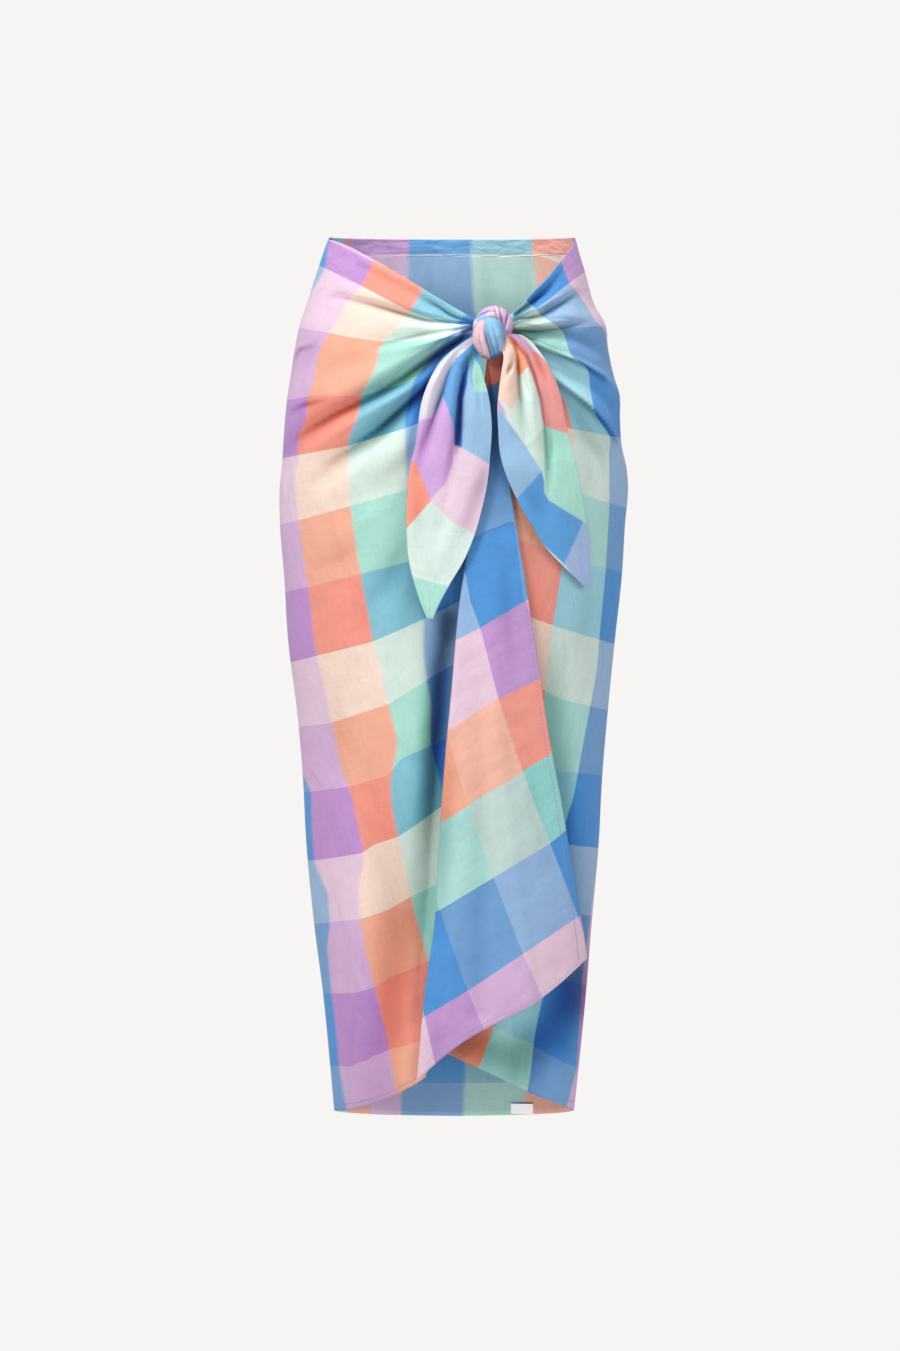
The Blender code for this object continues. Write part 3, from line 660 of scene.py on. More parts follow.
def overlap(across, fall):
    """The overlap: its left edge is a roll that turns under, and its right edge is free."""
    row = OVERLAP_ROWS.at(fall * OVERLAP_ROWS.last())
    turn = np.clip((across - HOOK_BACK) / (HOOK_FRONT - HOOK_BACK), 0, 1) * math.pi
    tuck = HOOK_TUCK * np.clip(1 - across / HOOK_BACK, 0, 1)
    part = np.clip((across - HOOK_FRONT) / (1 - HOOK_FRONT), 0, 1)
    start_x = row.left_x + row.roll
    x = start_x + (row.right_x - start_x) * part - row.roll * np.sin(turn) + tuck
    part = (x - row.left_x) / (row.right_x - row.left_x)
    down = row.left_down + (row.right_down - row.left_down) * part
    down = down - row.wave * np.sin(2 * math.pi * part)
    lift = row.left_lift + (row.right_lift - row.left_lift) * part
    fade = ease(part * EDGE_FADE) * ease((1 - part) * EDGE_FADE) * (turn >= math.pi)
    folds = fold_lift(OVERLAP_FOLDS, x, down) + crease_lift(OVERLAP_CREASES, x, down)
    lift = lift + folds * fade - row.roll * (1 + np.cos(turn))
    return round_form(form_angle(x, down), down, lift)


def on_strip(rows, across, fall):
    """Places on a strip between two edges, with the rows that they lie in."""
    row = rows.at(fall * rows.last())
    x = row.left_x + (row.right_x - row.left_x) * across
    down = row.left_down + (row.right_down - row.left_down) * across
    return row, x, down


def tail_left(across, fall):
    row, x, down = on_strip(TAIL_LEFT_ROWS, across, fall)
    return ahead_of_form(x, down, row.lift + fold_lift(TAIL_LEFT_FOLDS, x, down))


def tail_right(across, fall):
    row, x, down = on_strip(TAIL_RIGHT_ROWS, across, fall)
    leaf = LEAF_HEIGHT * ease((LEAF_EDGE.at(down).x - x) / LEAF_SLOPE + 0.5)
    leaf *= ease((LEAF_END - down) / LEAF_FADE)
    return ahead_of_form(x, down, row.lift + leaf + fold_lift(TAIL_RIGHT_FOLDS, x, down))


def label(across, fall):
    """The label lies inside the back's hem: the back's own points, moved in past its wall."""
    x = LABEL_X[1] - (LABEL_X[1] - LABEL_X[0]) * across
    down = LABEL_DOWN[0] + (LABEL_DOWN[1] - LABEL_DOWN[0]) * fall
    angle = 2 * math.pi - form_angle(x, down)
    lift = fold_lift(BACK_FOLDS + BACK_CREASES, x, down) - CLOTH_WALL - LABEL_GAP
    return round_form(angle, down, lift)


def knot_ball(points):
    """The wrap at the front of the knot, from a unit sphere's points."""
    x = KNOT_CENTRE[0] + points[:, 0] * KNOT_HALF[0]
    down = KNOT_CENTRE[1] - points[:, 2] * KNOT_HALF[2]
    centre = np.array([KNOT_CENTRE], dtype=float)
    middle = ahead_of_form(centre[:, 0], centre[:, 1], KNOT_LIFT)
    raised = fold_lift(KNOT_FOLDS, x, down) * ease(-points[:, 1] * FRONT_FADE)
    y = middle[0, 1] / MM + points[:, 1] * KNOT_HALF[1] - raised
    return np.stack([x, y, -down], axis=-1) * MM


def knot_band(points):
    """The band over the knot: a unit sphere drawn out along the band's path."""
    place = (points[:, 2] + 1) / 2 * BAND_PATH.last()
    middle = BAND_PATH.at(place)
    before = BAND_PATH.at(np.clip(place - BAND_STEP, 0, None))
    after = BAND_PATH.at(place + BAND_STEP)
    run_x, run_down = after.x - before.x, after.down - before.down
    length = np.hypot(run_x, run_down)
    girth = np.hypot(points[:, 0], points[:, 1])
    even = np.where(girth > POLE, np.minimum(1, girth * BAND_FULLNESS) / np.maximum(girth, POLE), 0)
    aside = points[:, 0] * even * BAND_RADIUS
    ahead = points[:, 1] * even * BAND_DEPTH
    x = middle.x - aside * run_down / length
    down = middle.down + aside * run_x / length
    raised = fold_lift(BAND_FOLDS, x, down) * ease(-points[:, 1] * FRONT_FADE)
    ahead = ahead - raised + BAND_SINK
    return ahead_of_form(x, down, middle.lift) + np.stack([0 * x, ahead, 0 * x], axis=-1) * MM


# The check. Each stripe edge is charted as a row of points x, y, in the photo's pixels, and is
# read along x, ACROSS, or along y, DOWN. Stripes of one colour run down the cloth and tones
# run across it.

ACROSS = 0
DOWN = 1
PLACES = np.arange(100.0, 1300.0, 2.0)
SOFTENED = 6
SOFTNESS = 2.6
SOFTENING = np.exp(-(np.arange(-SOFTENED, SOFTENED + 1) / SOFTNESS) ** 2)
STEEPEST = 2.5
NARROWEST_STRIPE = 2


def chart_rows(along, *rows):
    return [charted(pairs(row), along) for row in rows]


def charted(points, along):
    """One stripe edge at each of PLACES, running on past its ends and softened."""
    points = points[np.argsort(points[:, along], kind="stable")]
    place, value = points[:, along], points[:, 1 - along]
    line = np.interp(PLACES, place, value)
    first = (value[1] - value[0]) / max(place[1] - place[0], 1)
    last = (value[-1] - value[-2]) / max(place[-1] - place[-2], 1)
    line += np.minimum(PLACES - place[0], 0) * np.clip(first, -STEEPEST, STEEPEST)
    line += np.maximum(PLACES - place[-1], 0) * np.clip(last, -STEEPEST, STEEPEST)
    wide = np.pad(line, SOFTENED, mode="reflect", reflect_type="odd")
    return np.convolve(wide, SOFTENING / SOFTENING.sum(), mode="valid")


def count_stripes(lines, along, x, y):
    """How many stripe edges lie before each point, with the part of a stripe after the last."""
    place, value = (x, y) if along == ACROSS else (y, x)
    edges = [np.interp(place, PLACES, line) for line in lines]
    total = np.zeros_like(x)
    for index, (low, high) in enumerate(zip(edges, edges[1:])):
        part = (value - low) / np.maximum(high - low, NARROWEST_STRIPE)
        total += np.clip(part, 0, 1)
        if index == 0:
            total += np.minimum(part, 0)
        if index == len(edges) - 2:
            total += np.maximum(part - 1, 0)
    return total


LEFT_COLUMNS = chart_rows(
    DOWN,
    (331, 236, 329, 241, 325, 268, 318, 282, 305, 300, 300, 306, 292, 340, 280, 400, 272, 480, 274, 560,
     280, 660, 292, 740, 301.5, 773, 311, 790, 311.5, 824, 314, 859, 316, 867, 328, 893, 330, 923, 327,
     946, 331.5, 993, 336.5, 1034, 339, 1067, 346, 1107, 347, 1115),
    (385, 240, 373, 261.5, 362, 286, 348.5, 299, 330, 332, 325, 337, 317, 356, 313, 381.5, 307, 400,
     306, 419, 298, 435, 297, 458, 294, 487, 298, 518, 305, 569, 309, 595, 313.5, 639, 317, 655, 324.5,
     689, 332, 723, 341, 767, 350.5, 793, 363, 847, 365, 860, 358, 885, 360, 921, 366, 956, 375, 989,
     388, 1042, 396, 1092, 399, 1110),
    (450, 240, 424, 287, 411.5, 310, 399, 326, 384, 340, 380, 346, 376, 367, 361, 396, 357, 419, 348,
     438, 348, 461, 350, 507, 357, 553, 363, 588, 371, 630, 373.5, 643, 383, 678, 389, 706, 398, 741,
     390, 785, 392, 808, 398, 837.5, 403, 860, 411, 898, 424, 945, 434, 985, 445, 1040),
    (480, 300, 455, 326, 450, 335, 436, 351, 414, 380, 405, 417, 406, 459, 407.5, 489, 412, 540, 419,
     590, 424, 620, 423.5, 654, 426, 677, 431, 703, 430.5, 744, 441, 784, 452, 840, 470, 920, 490,
     1000),
)
LEFT_TONES = chart_rows(
    ACROSS,
    (300, 228, 334, 243, 373, 261.5, 411.5, 278.5, 424, 287, 460, 309, 475, 320),
    (300, 256, 325, 268, 362, 286, 409, 311, 440, 322, 475, 327),
    (290, 326, 306, 329, 330, 333, 348, 337, 382, 341.5, 409, 341.5, 440, 338, 476, 333),
    (290, 400, 300, 398, 314, 395, 361, 396, 413, 381, 440, 362, 476, 342),
    (275, 460, 283, 458, 347, 446, 406, 428, 430, 418, 480, 400),
    (275, 526, 283, 524, 299.5, 520, 350, 506, 406, 490, 440, 480, 480, 470),
    (280, 593, 308, 587, 360, 574, 392, 566, 407, 562, 450, 548, 480, 540),
    (285, 664, 300, 660, 320, 655, 373.5, 641.5, 379, 639, 424, 619, 470, 596),
    (290, 730, 300, 727, 331, 723, 389, 704, 427, 680, 441, 671, 470, 655),
    (290, 795, 311, 791.5, 347.5, 787, 390, 775, 399.5, 759, 433, 745, 470, 728),
    (300, 861, 320, 860, 364, 853, 372, 845, 398, 837, 416, 825, 439, 808, 460, 795),
    (305, 925, 313, 924, 360, 919, 386, 911, 411, 896.5, 433, 886.5, 460, 872),
    (315, 994, 355, 993, 373, 988, 393, 976, 421, 964.5, 450, 950),
    (320, 1066, 351, 1066, 388, 1049, 416, 1042, 440, 1030),
    (320, 1134, 351, 1132, 388, 1116, 416, 1108, 440, 1098),
)

UNDER_COLUMNS = chart_rows(
    DOWN,
    (480, 300, 500, 330, 522, 347, 548, 372, 566, 404, 575, 440, 570, 500, 563, 560, 557, 600, 553, 621,
     547, 680, 535, 760, 520, 860, 505, 960, 493, 1028.5, 483, 1059, 478, 1067, 470, 1085),
    (500, 285, 523, 297.6, 531, 304.5, 538.5, 310, 539.5, 318.5, 553, 319.5, 557.4, 328, 563.5, 330,
     566, 340, 571, 357.6, 588.6, 367, 590, 389, 595, 415, 611, 436, 609.4, 454, 609.4, 509, 606, 569,
     600, 633, 597, 670, 590, 709, 583, 745, 574, 796, 566, 821, 544, 993, 538, 1018, 534, 1041, 531,
     1069, 527.6, 1090),
    (560, 260, 569, 283, 581, 297, 596, 322, 605, 330, 608, 350, 618, 385, 624, 440, 628, 480, 627, 520,
     620, 600, 613, 700, 605, 780, 599, 850, 590, 920, 582, 980, 577, 1067, 567, 1105),
)
UNDER_TONES = chart_rows(
    ACROSS,
    (512, 315, 523, 297, 542, 278, 560, 260, 574, 241, 590, 225),
    (512, 324, 532, 312, 545, 302, 569, 283, 583, 273, 600, 262),
    (512, 331, 536, 331, 557, 332, 575, 328, 602, 326, 620, 325),
    (512, 338, 544, 350, 571, 358, 589, 367, 609, 378, 620, 391),
    (540, 415, 568, 428.5, 590, 432, 611, 436, 622, 438),
    (570, 488, 585, 495, 606, 502, 626.6, 508),
    (527, 542, 542, 547, 560, 556, 592, 565, 606, 568, 621, 572),
    (530, 617, 560, 628, 600, 640, 615, 644),
    (540, 688, 560, 699, 595, 707, 606, 710),
    (545, 764, 560, 771, 601, 775),
    (560, 841, 569.6, 845, 599, 848),
    (540, 903, 570, 911, 582, 915, 592, 915),
    (450, 960, 540, 975, 585, 985),
    (470, 1014, 496, 1027, 533, 1044, 553, 1056.5, 571, 1065.5, 580, 1069),
    (470, 1080, 496, 1093, 533, 1110, 553, 1122.5, 571, 1131.5, 580, 1135),
)

OVERLAP_BANDS = chart_rows(
    ACROSS,
    (470, 398, 490, 386, 505, 378),
    (460, 542, 478, 535, 513, 521, 540, 508),
    (440, 646, 457, 640, 480, 628, 525, 601, 550, 586),
    (430, 737, 449, 730, 484, 707, 499, 699, 538.7, 679, 560, 668),
    (425, 829, 440, 823.5, 467, 807, 476, 799.5, 511, 780, 523, 771, 551, 754, 575, 739),
    (420, 918, 439, 910.5, 493, 878, 551, 843, 565, 831, 585, 815),
    (405, 1028, 424, 1017, 469, 990, 523, 954, 578, 917, 595, 905),
    (405, 1123, 424, 1112, 469, 1085, 523, 1049, 578, 1012, 595, 1000),
)
OVERLAP_TONES = chart_rows(
    DOWN,
    (405, 940, 423, 1009, 434, 1059, 440, 1080),
    (415, 830, 440, 912, 466.5, 988, 481.6, 1024.6, 490, 1045),
    (430, 660, 447.6, 737, 465.7, 799.5, 493, 877, 523, 954, 538.7, 989, 550, 1015),
    (463, 560, 470, 600, 480, 627, 498.5, 699, 522.6, 771, 526, 780, 550, 843, 578, 916, 590, 950),
)

# Where each stripe edge of the back lies, from its right outline, 0, to its left one, 1.
BACK_EDGES = Table(
    "down ten nine eight seven six five four",
    (0, 0.057, 0.277, 0.451, 0.613, 0.817, 0.837, 0.93),
    (240, 0.12, 0.323, 0.441, 0.555, 0.677, 0.79, 0.9),
    (560, 0.105, 0.31, 0.458, 0.6, 0.715, 0.82, 0.92),
    (870, 0.0875, 0.295, 0.475, 0.646, 0.75, 0.85, 0.94),
)
BACK_TONES = (237, 254.5, 256.5, *range(312, 1083, 70), 1148)
BACK_COUNTS = (0, 0.98, 2.02, 2.5, *range(3, 15))
BACK_BEND = 6

# How the counts start and end: the last stripe before the hem is two tones on, and the top of
# the overlap is a coral and a blue cell.
LAST_TONE = 13
LOWEST_TONE = LAST_TONE - 1.98
TURN_STEEPNESS = 4
HUES = 4
TONES = 3
INNERMOST = 13.98
TOP_CORAL = (-2.5, 3.5)
TOP_BLUE = (-0.5, 2.5)
EDGE_SHARPNESS = 12
OVERLAP_TONE = 7
LEFT_HUE = 3
UNDER_HUE = 13
BACK_HUES = range(10, 3, -1)


def chart_left(x, y):
    u = LEFT_HUE - count_stripes(LEFT_COLUMNS, DOWN, x, y)
    return u, count_stripes(LEFT_TONES, ACROSS, x, y)


def chart_under(x, y):
    u = UNDER_HUE - count_stripes(UNDER_COLUMNS, DOWN, x, y)
    return np.minimum(u, INNERMOST), count_stripes(UNDER_TONES, ACROSS, x, y)


def chart_overlap(x, y):
    bands = count_stripes(OVERLAP_BANDS, ACROSS, x, y)
    tones = count_stripes(OVERLAP_TONES, DOWN, x, y)
    sharp = TONES + (bands - 1) * EDGE_SHARPNESS
    below = np.minimum(OVERLAP_TONE - tones, np.maximum(sharp, TONES))
    v = np.where(bands < 1, np.maximum(sharp, TOP_BLUE[1]), below)
    u = np.where(bands < 1, TOP_BLUE[0], 1 - bands)
    return np.where(bands < 0, TOP_CORAL[0], u), np.where(bands < 0, TOP_CORAL[1], v)


def hem_tone(v):
    """Turns the tone back at the last stripe, so that it goes from deep to middle."""
    before = np.minimum(v, LAST_TONE - 1 + (LAST_TONE - v) * TURN_STEEPNESS)
    after = np.maximum(2 * LAST_TONE - 1 - v, LOWEST_TONE)
    return np.where(v < LAST_TONE, before, after)


def chart_back(across, down, y):
    """The back's stripes carry on from the two front stretches at the outlines."""
    section = FORM.at(down)
    left = chart_left(section.left + ORIGIN_X, y)
    right = chart_under(section.right + ORIGIN_X, y)
    places = [0 * down, *BACK_EDGES.at(down)[1:], 0 * down + 1]
    counts = [right[0], *BACK_HUES, left[0]]
    u = right[0].copy()
    for low, high, start, finish in zip(places, places[1:], counts, counts[1:]):
        u += np.clip((across - low) / (high - low), 0, 1) * (finish - start)
    edge = np.abs(1 - 2 * across) ** BACK_BEND
    middle = np.interp(y, BACK_TONES, BACK_COUNTS)
    v = middle + edge * (np.where(across > 0.5, left[1], right[1]) - middle)
    return u, v


# A patch is one colour inside its corners: most are dyes of the cloth, and the navy one is painted
# shade. A row gives the colour, and then the x and y of each corner in the photo's pixels.
Patch = namedtuple("Patch", "dye corners")


def patch_rows(*rows):
    return [Patch(row[0], pairs(row[1:])) for row in rows]


PATCH_BLEND = 1.6
# The navy one is painted shade: the blue cloth darkened where it lies deep in a valley. The rest are
# dyes of the cloth.
DYES_AND_SHADE = {
    "blue": (104, 162, 216),
    "navy": (60, 104, 176),
    "strong_blue": (92, 158, 218),
    "light_blue": (150, 188, 222),
    "knot_blue": (138, 184, 216),
    "periwinkle": (160, 184, 222),
    "teal": (120, 178, 200),
    "steel": (126, 164, 206),
    "mint": (168, 220, 206),
    "pale_mint": (212, 230, 224),
    "grey_mint": (196, 218, 208),
    "purple": (204, 164, 218),
    "pink_lilac": (226, 202, 220),
    "lilac_white": (222, 219, 230),
    "lilac": (204, 172, 208),
    "dusty_pink": (222, 190, 198),
    "coral": (238, 152, 134),
    "rose": (232, 156, 152),
    "orange": (244, 166, 130),
    "peach": (238, 208, 192),
}

TAIL_LEFT_PATCHES = patch_rows(
    ("light_blue", 463, 376, 469, 366, 480, 366, 490, 376, 500, 400, 500, 470, 488, 464, 460, 448, 462,
     420, 461, 395),
    ("teal", 468, 352, 474, 350, 478, 372, 475, 391, 470, 376),
    ("mint", 475, 360, 484, 374, 490, 391, 475, 391, 473, 376),
    # Painted shade: this navy strip darkens the blue cloth in the valley that runs down the left end.
    ("navy", 463, 376, 468, 366, 466, 384, 462, 400, 461, 420, 461, 448, 454, 447, 456, 420, 458, 398),
    ("lilac_white", 480, 334, 466, 342, 452, 352, 440, 364, 430, 380, 422, 398, 412, 422, 421, 421, 432,
     418, 436, 405, 442, 388, 447, 372, 455, 358, 470, 345),
    ("purple", 443, 398, 437, 412, 432, 419, 420, 421, 400, 430, 404, 462, 414, 461, 422, 480, 431, 500,
     446, 484, 454, 462, 454, 446, 453, 425),
    ("pink_lilac", 454, 446, 461, 448, 488, 464, 502, 470, 492, 542, 472, 532.5, 451, 522, 431, 500,
     446, 484, 454, 462),
    ("coral", 398, 462, 414, 461, 422, 480, 431, 503.5, 407.6, 528.5, 396, 540),
    ("pale_mint", 431, 502, 451, 522, 472, 532.5, 492, 542, 470, 604, 446, 587, 412, 577.5, 396, 572,
     396, 540, 407.6, 528.5),
    ("mint", 396, 572, 412, 577.5, 446, 587, 474, 596, 450, 640, 400, 640),
)
TAIL_RIGHT_PATCHES = patch_rows(
    ("peach", 486, 330, 510, 336, 516, 352, 518, 372, 519, 396, 512, 408, 504, 402, 497, 399, 488,
     396),
    ("orange", 506, 332, 518, 342, 527, 358, 529, 364, 522, 372, 519, 374, 517, 352),
    ("lilac", 488, 396, 498, 400, 505, 414, 498, 420, 488, 414),
    ("grey_mint", 524, 449, 532, 441, 543, 430, 548, 470, 541.5, 473),
    ("light_blue", 486, 416, 500, 411, 525.5, 447, 541.5, 473, 518.6, 498, 505, 512, 480, 440),
    ("strong_blue", 541.5, 473, 546, 492, 549, 499.5, 584, 522, 565, 564, 541.5, 542, 500, 510, 518.6,
     498),
    ("periwinkle", 584, 522, 600, 530, 600, 600, 585, 592, 565, 564),
    ("lilac", 496, 326, 512, 330, 526, 342, 536, 354, 531, 355, 520, 343, 504, 334),
    ("rose", 520, 343, 531, 354, 536, 352, 580, 400, 567, 434, 546, 428, 543, 416, 541, 400, 535, 382,
     528, 363.5, 518, 345, 508, 336),
    ("mint", 544, 427, 567, 434, 596, 440, 600, 530, 586, 522.4, 549, 499.5, 545, 492, 545, 460),
)
KNOT_PATCHES = patch_rows(
    ("knot_blue", 484, 318, 496, 318, 503, 330, 499, 345, 491, 345, 485, 333),
    ("dusty_pink", 460, 320, 484, 321, 484, 335, 488, 350, 492, 370, 460, 370),
    ("periwinkle", 502, 330, 512, 330, 512, 350, 502, 358, 500, 346),
)
BAND_PATCHES = patch_rows(
    ("periwinkle", 476, 317, 486, 313, 489, 321, 483, 328, 478, 326),
    ("pink_lilac", 487, 316, 494, 306, 500, 310, 501, 326, 492, 322),
    ("pink_lilac", 464, 320, 474, 318, 481, 332, 470, 334),
)


def inside_by(corners, x, y):
    """How far points lie inside a patch's outline; less than zero is outside."""
    nearest = np.full_like(x, np.inf)
    inside = np.zeros_like(x, dtype=bool)
    for start, finish in zip(corners, np.roll(corners, -1, axis=0)):
        step = finish - start
        right, under = x - start[0], y - start[1]
        part = np.clip((right * step[0] + under * step[1]) / (step @ step), 0, 1)
        nearest = np.minimum(nearest, np.hypot(right - part * step[0], under - part * step[1]))
        spans = (start[1] > y) != (finish[1] > y)
        rise = step[1] if step[1] else 1
        inside ^= spans & (x < start[0] + under * step[0] / rise)
    return np.where(inside, nearest, -nearest)


def patch_colours(base, patches, x, y):
    """The colour at each point, with patches painted over the base in turn: dyes, and painted shade
    where a patch stands for shade.
    """
    dyes = {name: np.array(colour(*values)) for name, values in DYES_AND_SHADE.items()}
    painted = np.tile(dyes[base], (len(x), 1))
    for patch in patches:
        mix = np.clip(inside_by(patch.corners, x, y) / PATCH_BLEND + 1, 0, 1)[:, None]
        painted += (dyes[patch.dye] - painted) * mix
    return painted


def photo_place(points):
    """Where the camera sees points, in the photo's pixels."""
    near = CAMERA_DISTANCE / (CAMERA_DISTANCE + points[:, 1]) / MM
    x = PHOTO_MIDDLE[0] + (points[:, 0] - CAMERA_X) * near
    y = PHOTO_MIDDLE[1] - (points[:, 2] - CAMERA_Z) * near
    return x, y


# Colours, from the photo: the stripes of each tone are mint, orange, purple and blue.

DEEP = ((132, 190, 208), (236, 150, 134), (188, 144, 204), (80, 147, 213))
PALE = ((207, 226, 218), (238, 214, 200), (224, 196, 218), (152, 183, 217))
MIDDLE = ((172, 217, 212), (236, 172, 148), (208, 174, 212), (114, 160, 209))
GREENER_MIDDLE = ((166, 217, 206), *MIDDLE[1:])
# Painted light: the right stretch faces away from the key light, so its deep mint, coral and purple are
# lighter than the same cloth's on the left.
RIGHT_DEEP_LIGHTENED = ((156, 206, 220), (236, 154, 140), (190, 150, 204), (80, 147, 213))
OVERLAP_DEEP = ((146, 208, 206), (236, 154, 140), (190, 150, 204), (80, 147, 213))
OVERLAP_PALE = ((190, 212, 208), (236, 182, 162), (226, 196, 216), (146, 180, 220))
LABEL_WHITE = (252, 252, 252)
LABEL_LINE = (70, 70, 74)
LABEL_LINE_WIDTH = 0.09
STITCH_THREAD = (158, 146, 190)

# How far the columns' colours bleed at their edges, in stripes, and how the threads and the
# shade change the cloth's colour.
BLEED = 0.3
UNDER_BLEED = 0.1
STREAKS = 0.16
CLOUDS = 0.10
LEAST_LIGHT = 0.79
SHADE_LIGHT = 0.70
SHADE_RICHNESS = 0.40

# How fine the marks in the cloth are, in marks per millimetre across and down.
THREAD_GRAIN = (1.3, 0.03)
CLOUD_GRAIN = (0.06, 0.045)
WEAVE_GRAIN = (2.6, 0.5)
CRUMPLE_GRAIN = (0.035, 0.02)
RIB_GRAIN = (0.3, 4)
BLEED_GRAIN = (1.7, 1.7)
WEAVE_BUMP = {"Strength": 0.35, "Distance": 0.0003}
CRUMPLE_BUMP = {"Strength": 0.6, "Distance": 0.006}
RIB_BUMP = {"Strength": 0.3, "Distance": 0.0002}
COTTON = {"Roughness": 0.86, "Sheen Weight": 0.12, "Sheen Roughness": 0.5, "Specular IOR Level": 0.2}
# The tape's emission is painted light: it glows a little so that it stays bright inside the hem.
TAPE_AND_GLOW = {"Roughness": 0.7, "Emission Strength": 0.3}
THREAD_ROUGHNESS = 0.8
FLOOR_ROUGHNESS = 0.9


def colour(red, green, blue):
    """A colour as the eye sees it, in the units that a shader takes."""
    values = np.array((red, green, blue)) / 255
    linear = np.where(values <= 0.04045, values / 12.92, ((values + 0.055) / 1.055) ** 2.4)
    return (*linear.tolist(), 1.0)


class Nodes:
    """Adds nodes to a material and joins them up."""

    def __init__(self, name):
        self.material = bpy.data.materials.new(name)
        self.material.use_nodes = True
        self.tree = self.material.node_tree
        self.shader = self.tree.nodes["Principled BSDF"]

    def add(self, kind, settings=None, inputs=None):
        node = self.tree.nodes.new(kind)
        for key, value in (settings or {}).items():
            setattr(node, key, value)
        for key, value in (inputs or {}).items():
            if isinstance(value, bpy.types.NodeSocket):
                self.tree.links.new(value, node.inputs[key])
            else:
                node.inputs[key].default_value = value
        return node

    def set(self, values):
        for name, value in values.items():
            self.shader.inputs[name].default_value = value

    def bump(self, inputs):
        """The relief that the shader takes, unless a later one is laid over it."""
        relief = self.add("ShaderNodeBump", None, inputs).outputs[0]
        self.tree.links.new(relief, self.shader.inputs["Normal"])
        return relief

    def math(self, operation, first, second=0, third=0):
        inputs = {0: first, 1: second, 2: third}
        return self.add("ShaderNodeMath", {"operation": operation}, inputs).outputs[0]

    def layer(self, name):
        layer = self.add("ShaderNodeUVMap", {"uv_map": name}).outputs[0]
        return self.add("ShaderNodeSeparateXYZ", None, {0: layer}).outputs

    def noise(self, grain, detail=2):
        x, y = self.layer("thread")[:2]
        place = self.add("ShaderNodeCombineXYZ", None, {
            0: self.math("MULTIPLY", x, grain[0]), 1: self.math("MULTIPLY", y, grain[1])})
        return self.add("ShaderNodeTexNoise", None, {
            "Vector": place.outputs[0], "Scale": 1, "Detail": detail}).outputs["Fac"]


def stripe_colours(make, colours, bleed):
    """The stripes' colours from the charted counts of stripes along and across the cloth."""
    check = make.layer("check")
    grain = make.noise(BLEED_GRAIN)
    column = make.math("MULTIPLY_ADD", make.math("SUBTRACT", grain, 0.5), bleed, check[0])
    hue = make.math("FLOOR", make.math("FLOORED_MODULO", column, HUES))
    tone = make.math("FLOOR", make.math("FLOORED_MODULO", check[1], TONES))
    index = make.math("ADD", make.math("MULTIPLY_ADD", tone, HUES, hue), 0.5)
    ramp = make.add("ShaderNodeValToRGB", None, {0: make.math("DIVIDE", index, HUES * TONES)})
    ramp.color_ramp.interpolation = "CONSTANT"
    stops = ramp.color_ramp.elements
    given = len(stops)
    for order, values in enumerate(colours):
        place = order / len(colours)
        stop = stops[order] if order < given else stops.new(place)
        stop.position = place
        stop.color = colour(*values)
    return ramp.outputs[0]


def cotton_material(name, colours=None, bleed=0.0):
    """Checked cotton with uneven threads, a weave and painted shade from its shade layer. Without
    colours it takes the colours painted on the piece: its dyes, and painted shade in places.
    """
    make = Nodes(name)
    if colours:
        coloured = stripe_colours(make, colours, bleed)
    else:
        coloured = make.add("ShaderNodeVertexColor", {"layer_name": "dye"}).outputs[0]
    # Painted shade: the shade layer darkens the colour and makes it richer deep in creases, gathers and
    # beside the overlap, and lightens it where it is below zero, as painted light.
    depth = make.layer("shade")[0]
    richer = make.math("MULTIPLY_ADD", depth, SHADE_RICHNESS, 1)
    coloured = make.add("ShaderNodeGamma", None, {"Color": coloured, "Gamma": richer}).outputs[0]
    warp = make.math("MULTIPLY", make.noise(THREAD_GRAIN), STREAKS)
    weft = make.math("MULTIPLY", make.noise(THREAD_GRAIN[::-1]), STREAKS)
    clouds = make.math("MULTIPLY", make.noise(CLOUD_GRAIN), CLOUDS)
    uneven = make.math("ADD", make.math("ADD", warp, weft), clouds)
    open_cloth = make.math("POWER", SHADE_LIGHT, depth)
    light = make.math("MULTIPLY", make.math("ADD", uneven, LEAST_LIGHT), open_cloth)
    grey = make.add("ShaderNodeCombineXYZ", None, {0: light, 1: light, 2: light}).outputs[0]
    tint = make.add("ShaderNodeVectorMath", {"operation": "MULTIPLY"}, {0: coloured, 1: grey})
    make.tree.links.new(tint.outputs[0], make.shader.inputs["Base Color"])
    weave = make.math("ADD", make.noise(WEAVE_GRAIN), make.noise(WEAVE_GRAIN[::-1]))
    soft = make.noise(CRUMPLE_GRAIN, 3)
    make.bump({**CRUMPLE_BUMP, "Height": soft, "Normal": make.bump({**WEAVE_BUMP, "Height": weave})})
    make.set(COTTON)
    return make.material


def label_material():
    """Blank woven tape with a thin dark line along its top. It glows a little with its own colours:
    painted light that keeps it bright inside the hem.
    """
    make = Nodes("label_tape")
    line = make.math("LESS_THAN", make.layer("check")[1], LABEL_LINE_WIDTH)
    mix = make.add("ShaderNodeMix", {"data_type": "RGBA"}, {
        "Factor": line, 6: colour(*LABEL_WHITE), 7: colour(*LABEL_LINE)})
    make.tree.links.new(mix.outputs[2], make.shader.inputs["Base Color"])
    # Painted light: the tape's own colours also glow.
    make.tree.links.new(mix.outputs[2], make.shader.inputs["Emission Color"])
    make.bump({**RIB_BUMP, "Height": make.noise(RIB_GRAIN)})
    make.set(TAPE_AND_GLOW)
    return make.material


def plain_material(name, values, roughness):
    make = Nodes(name)
    make.set({"Base Color": colour(*values), "Roughness": roughness})
    return make.material


def add_object(name, data):
    thing = bpy.data.objects.new(name, data)
    bpy.context.scene.collection.objects.link(thing)
    return thing


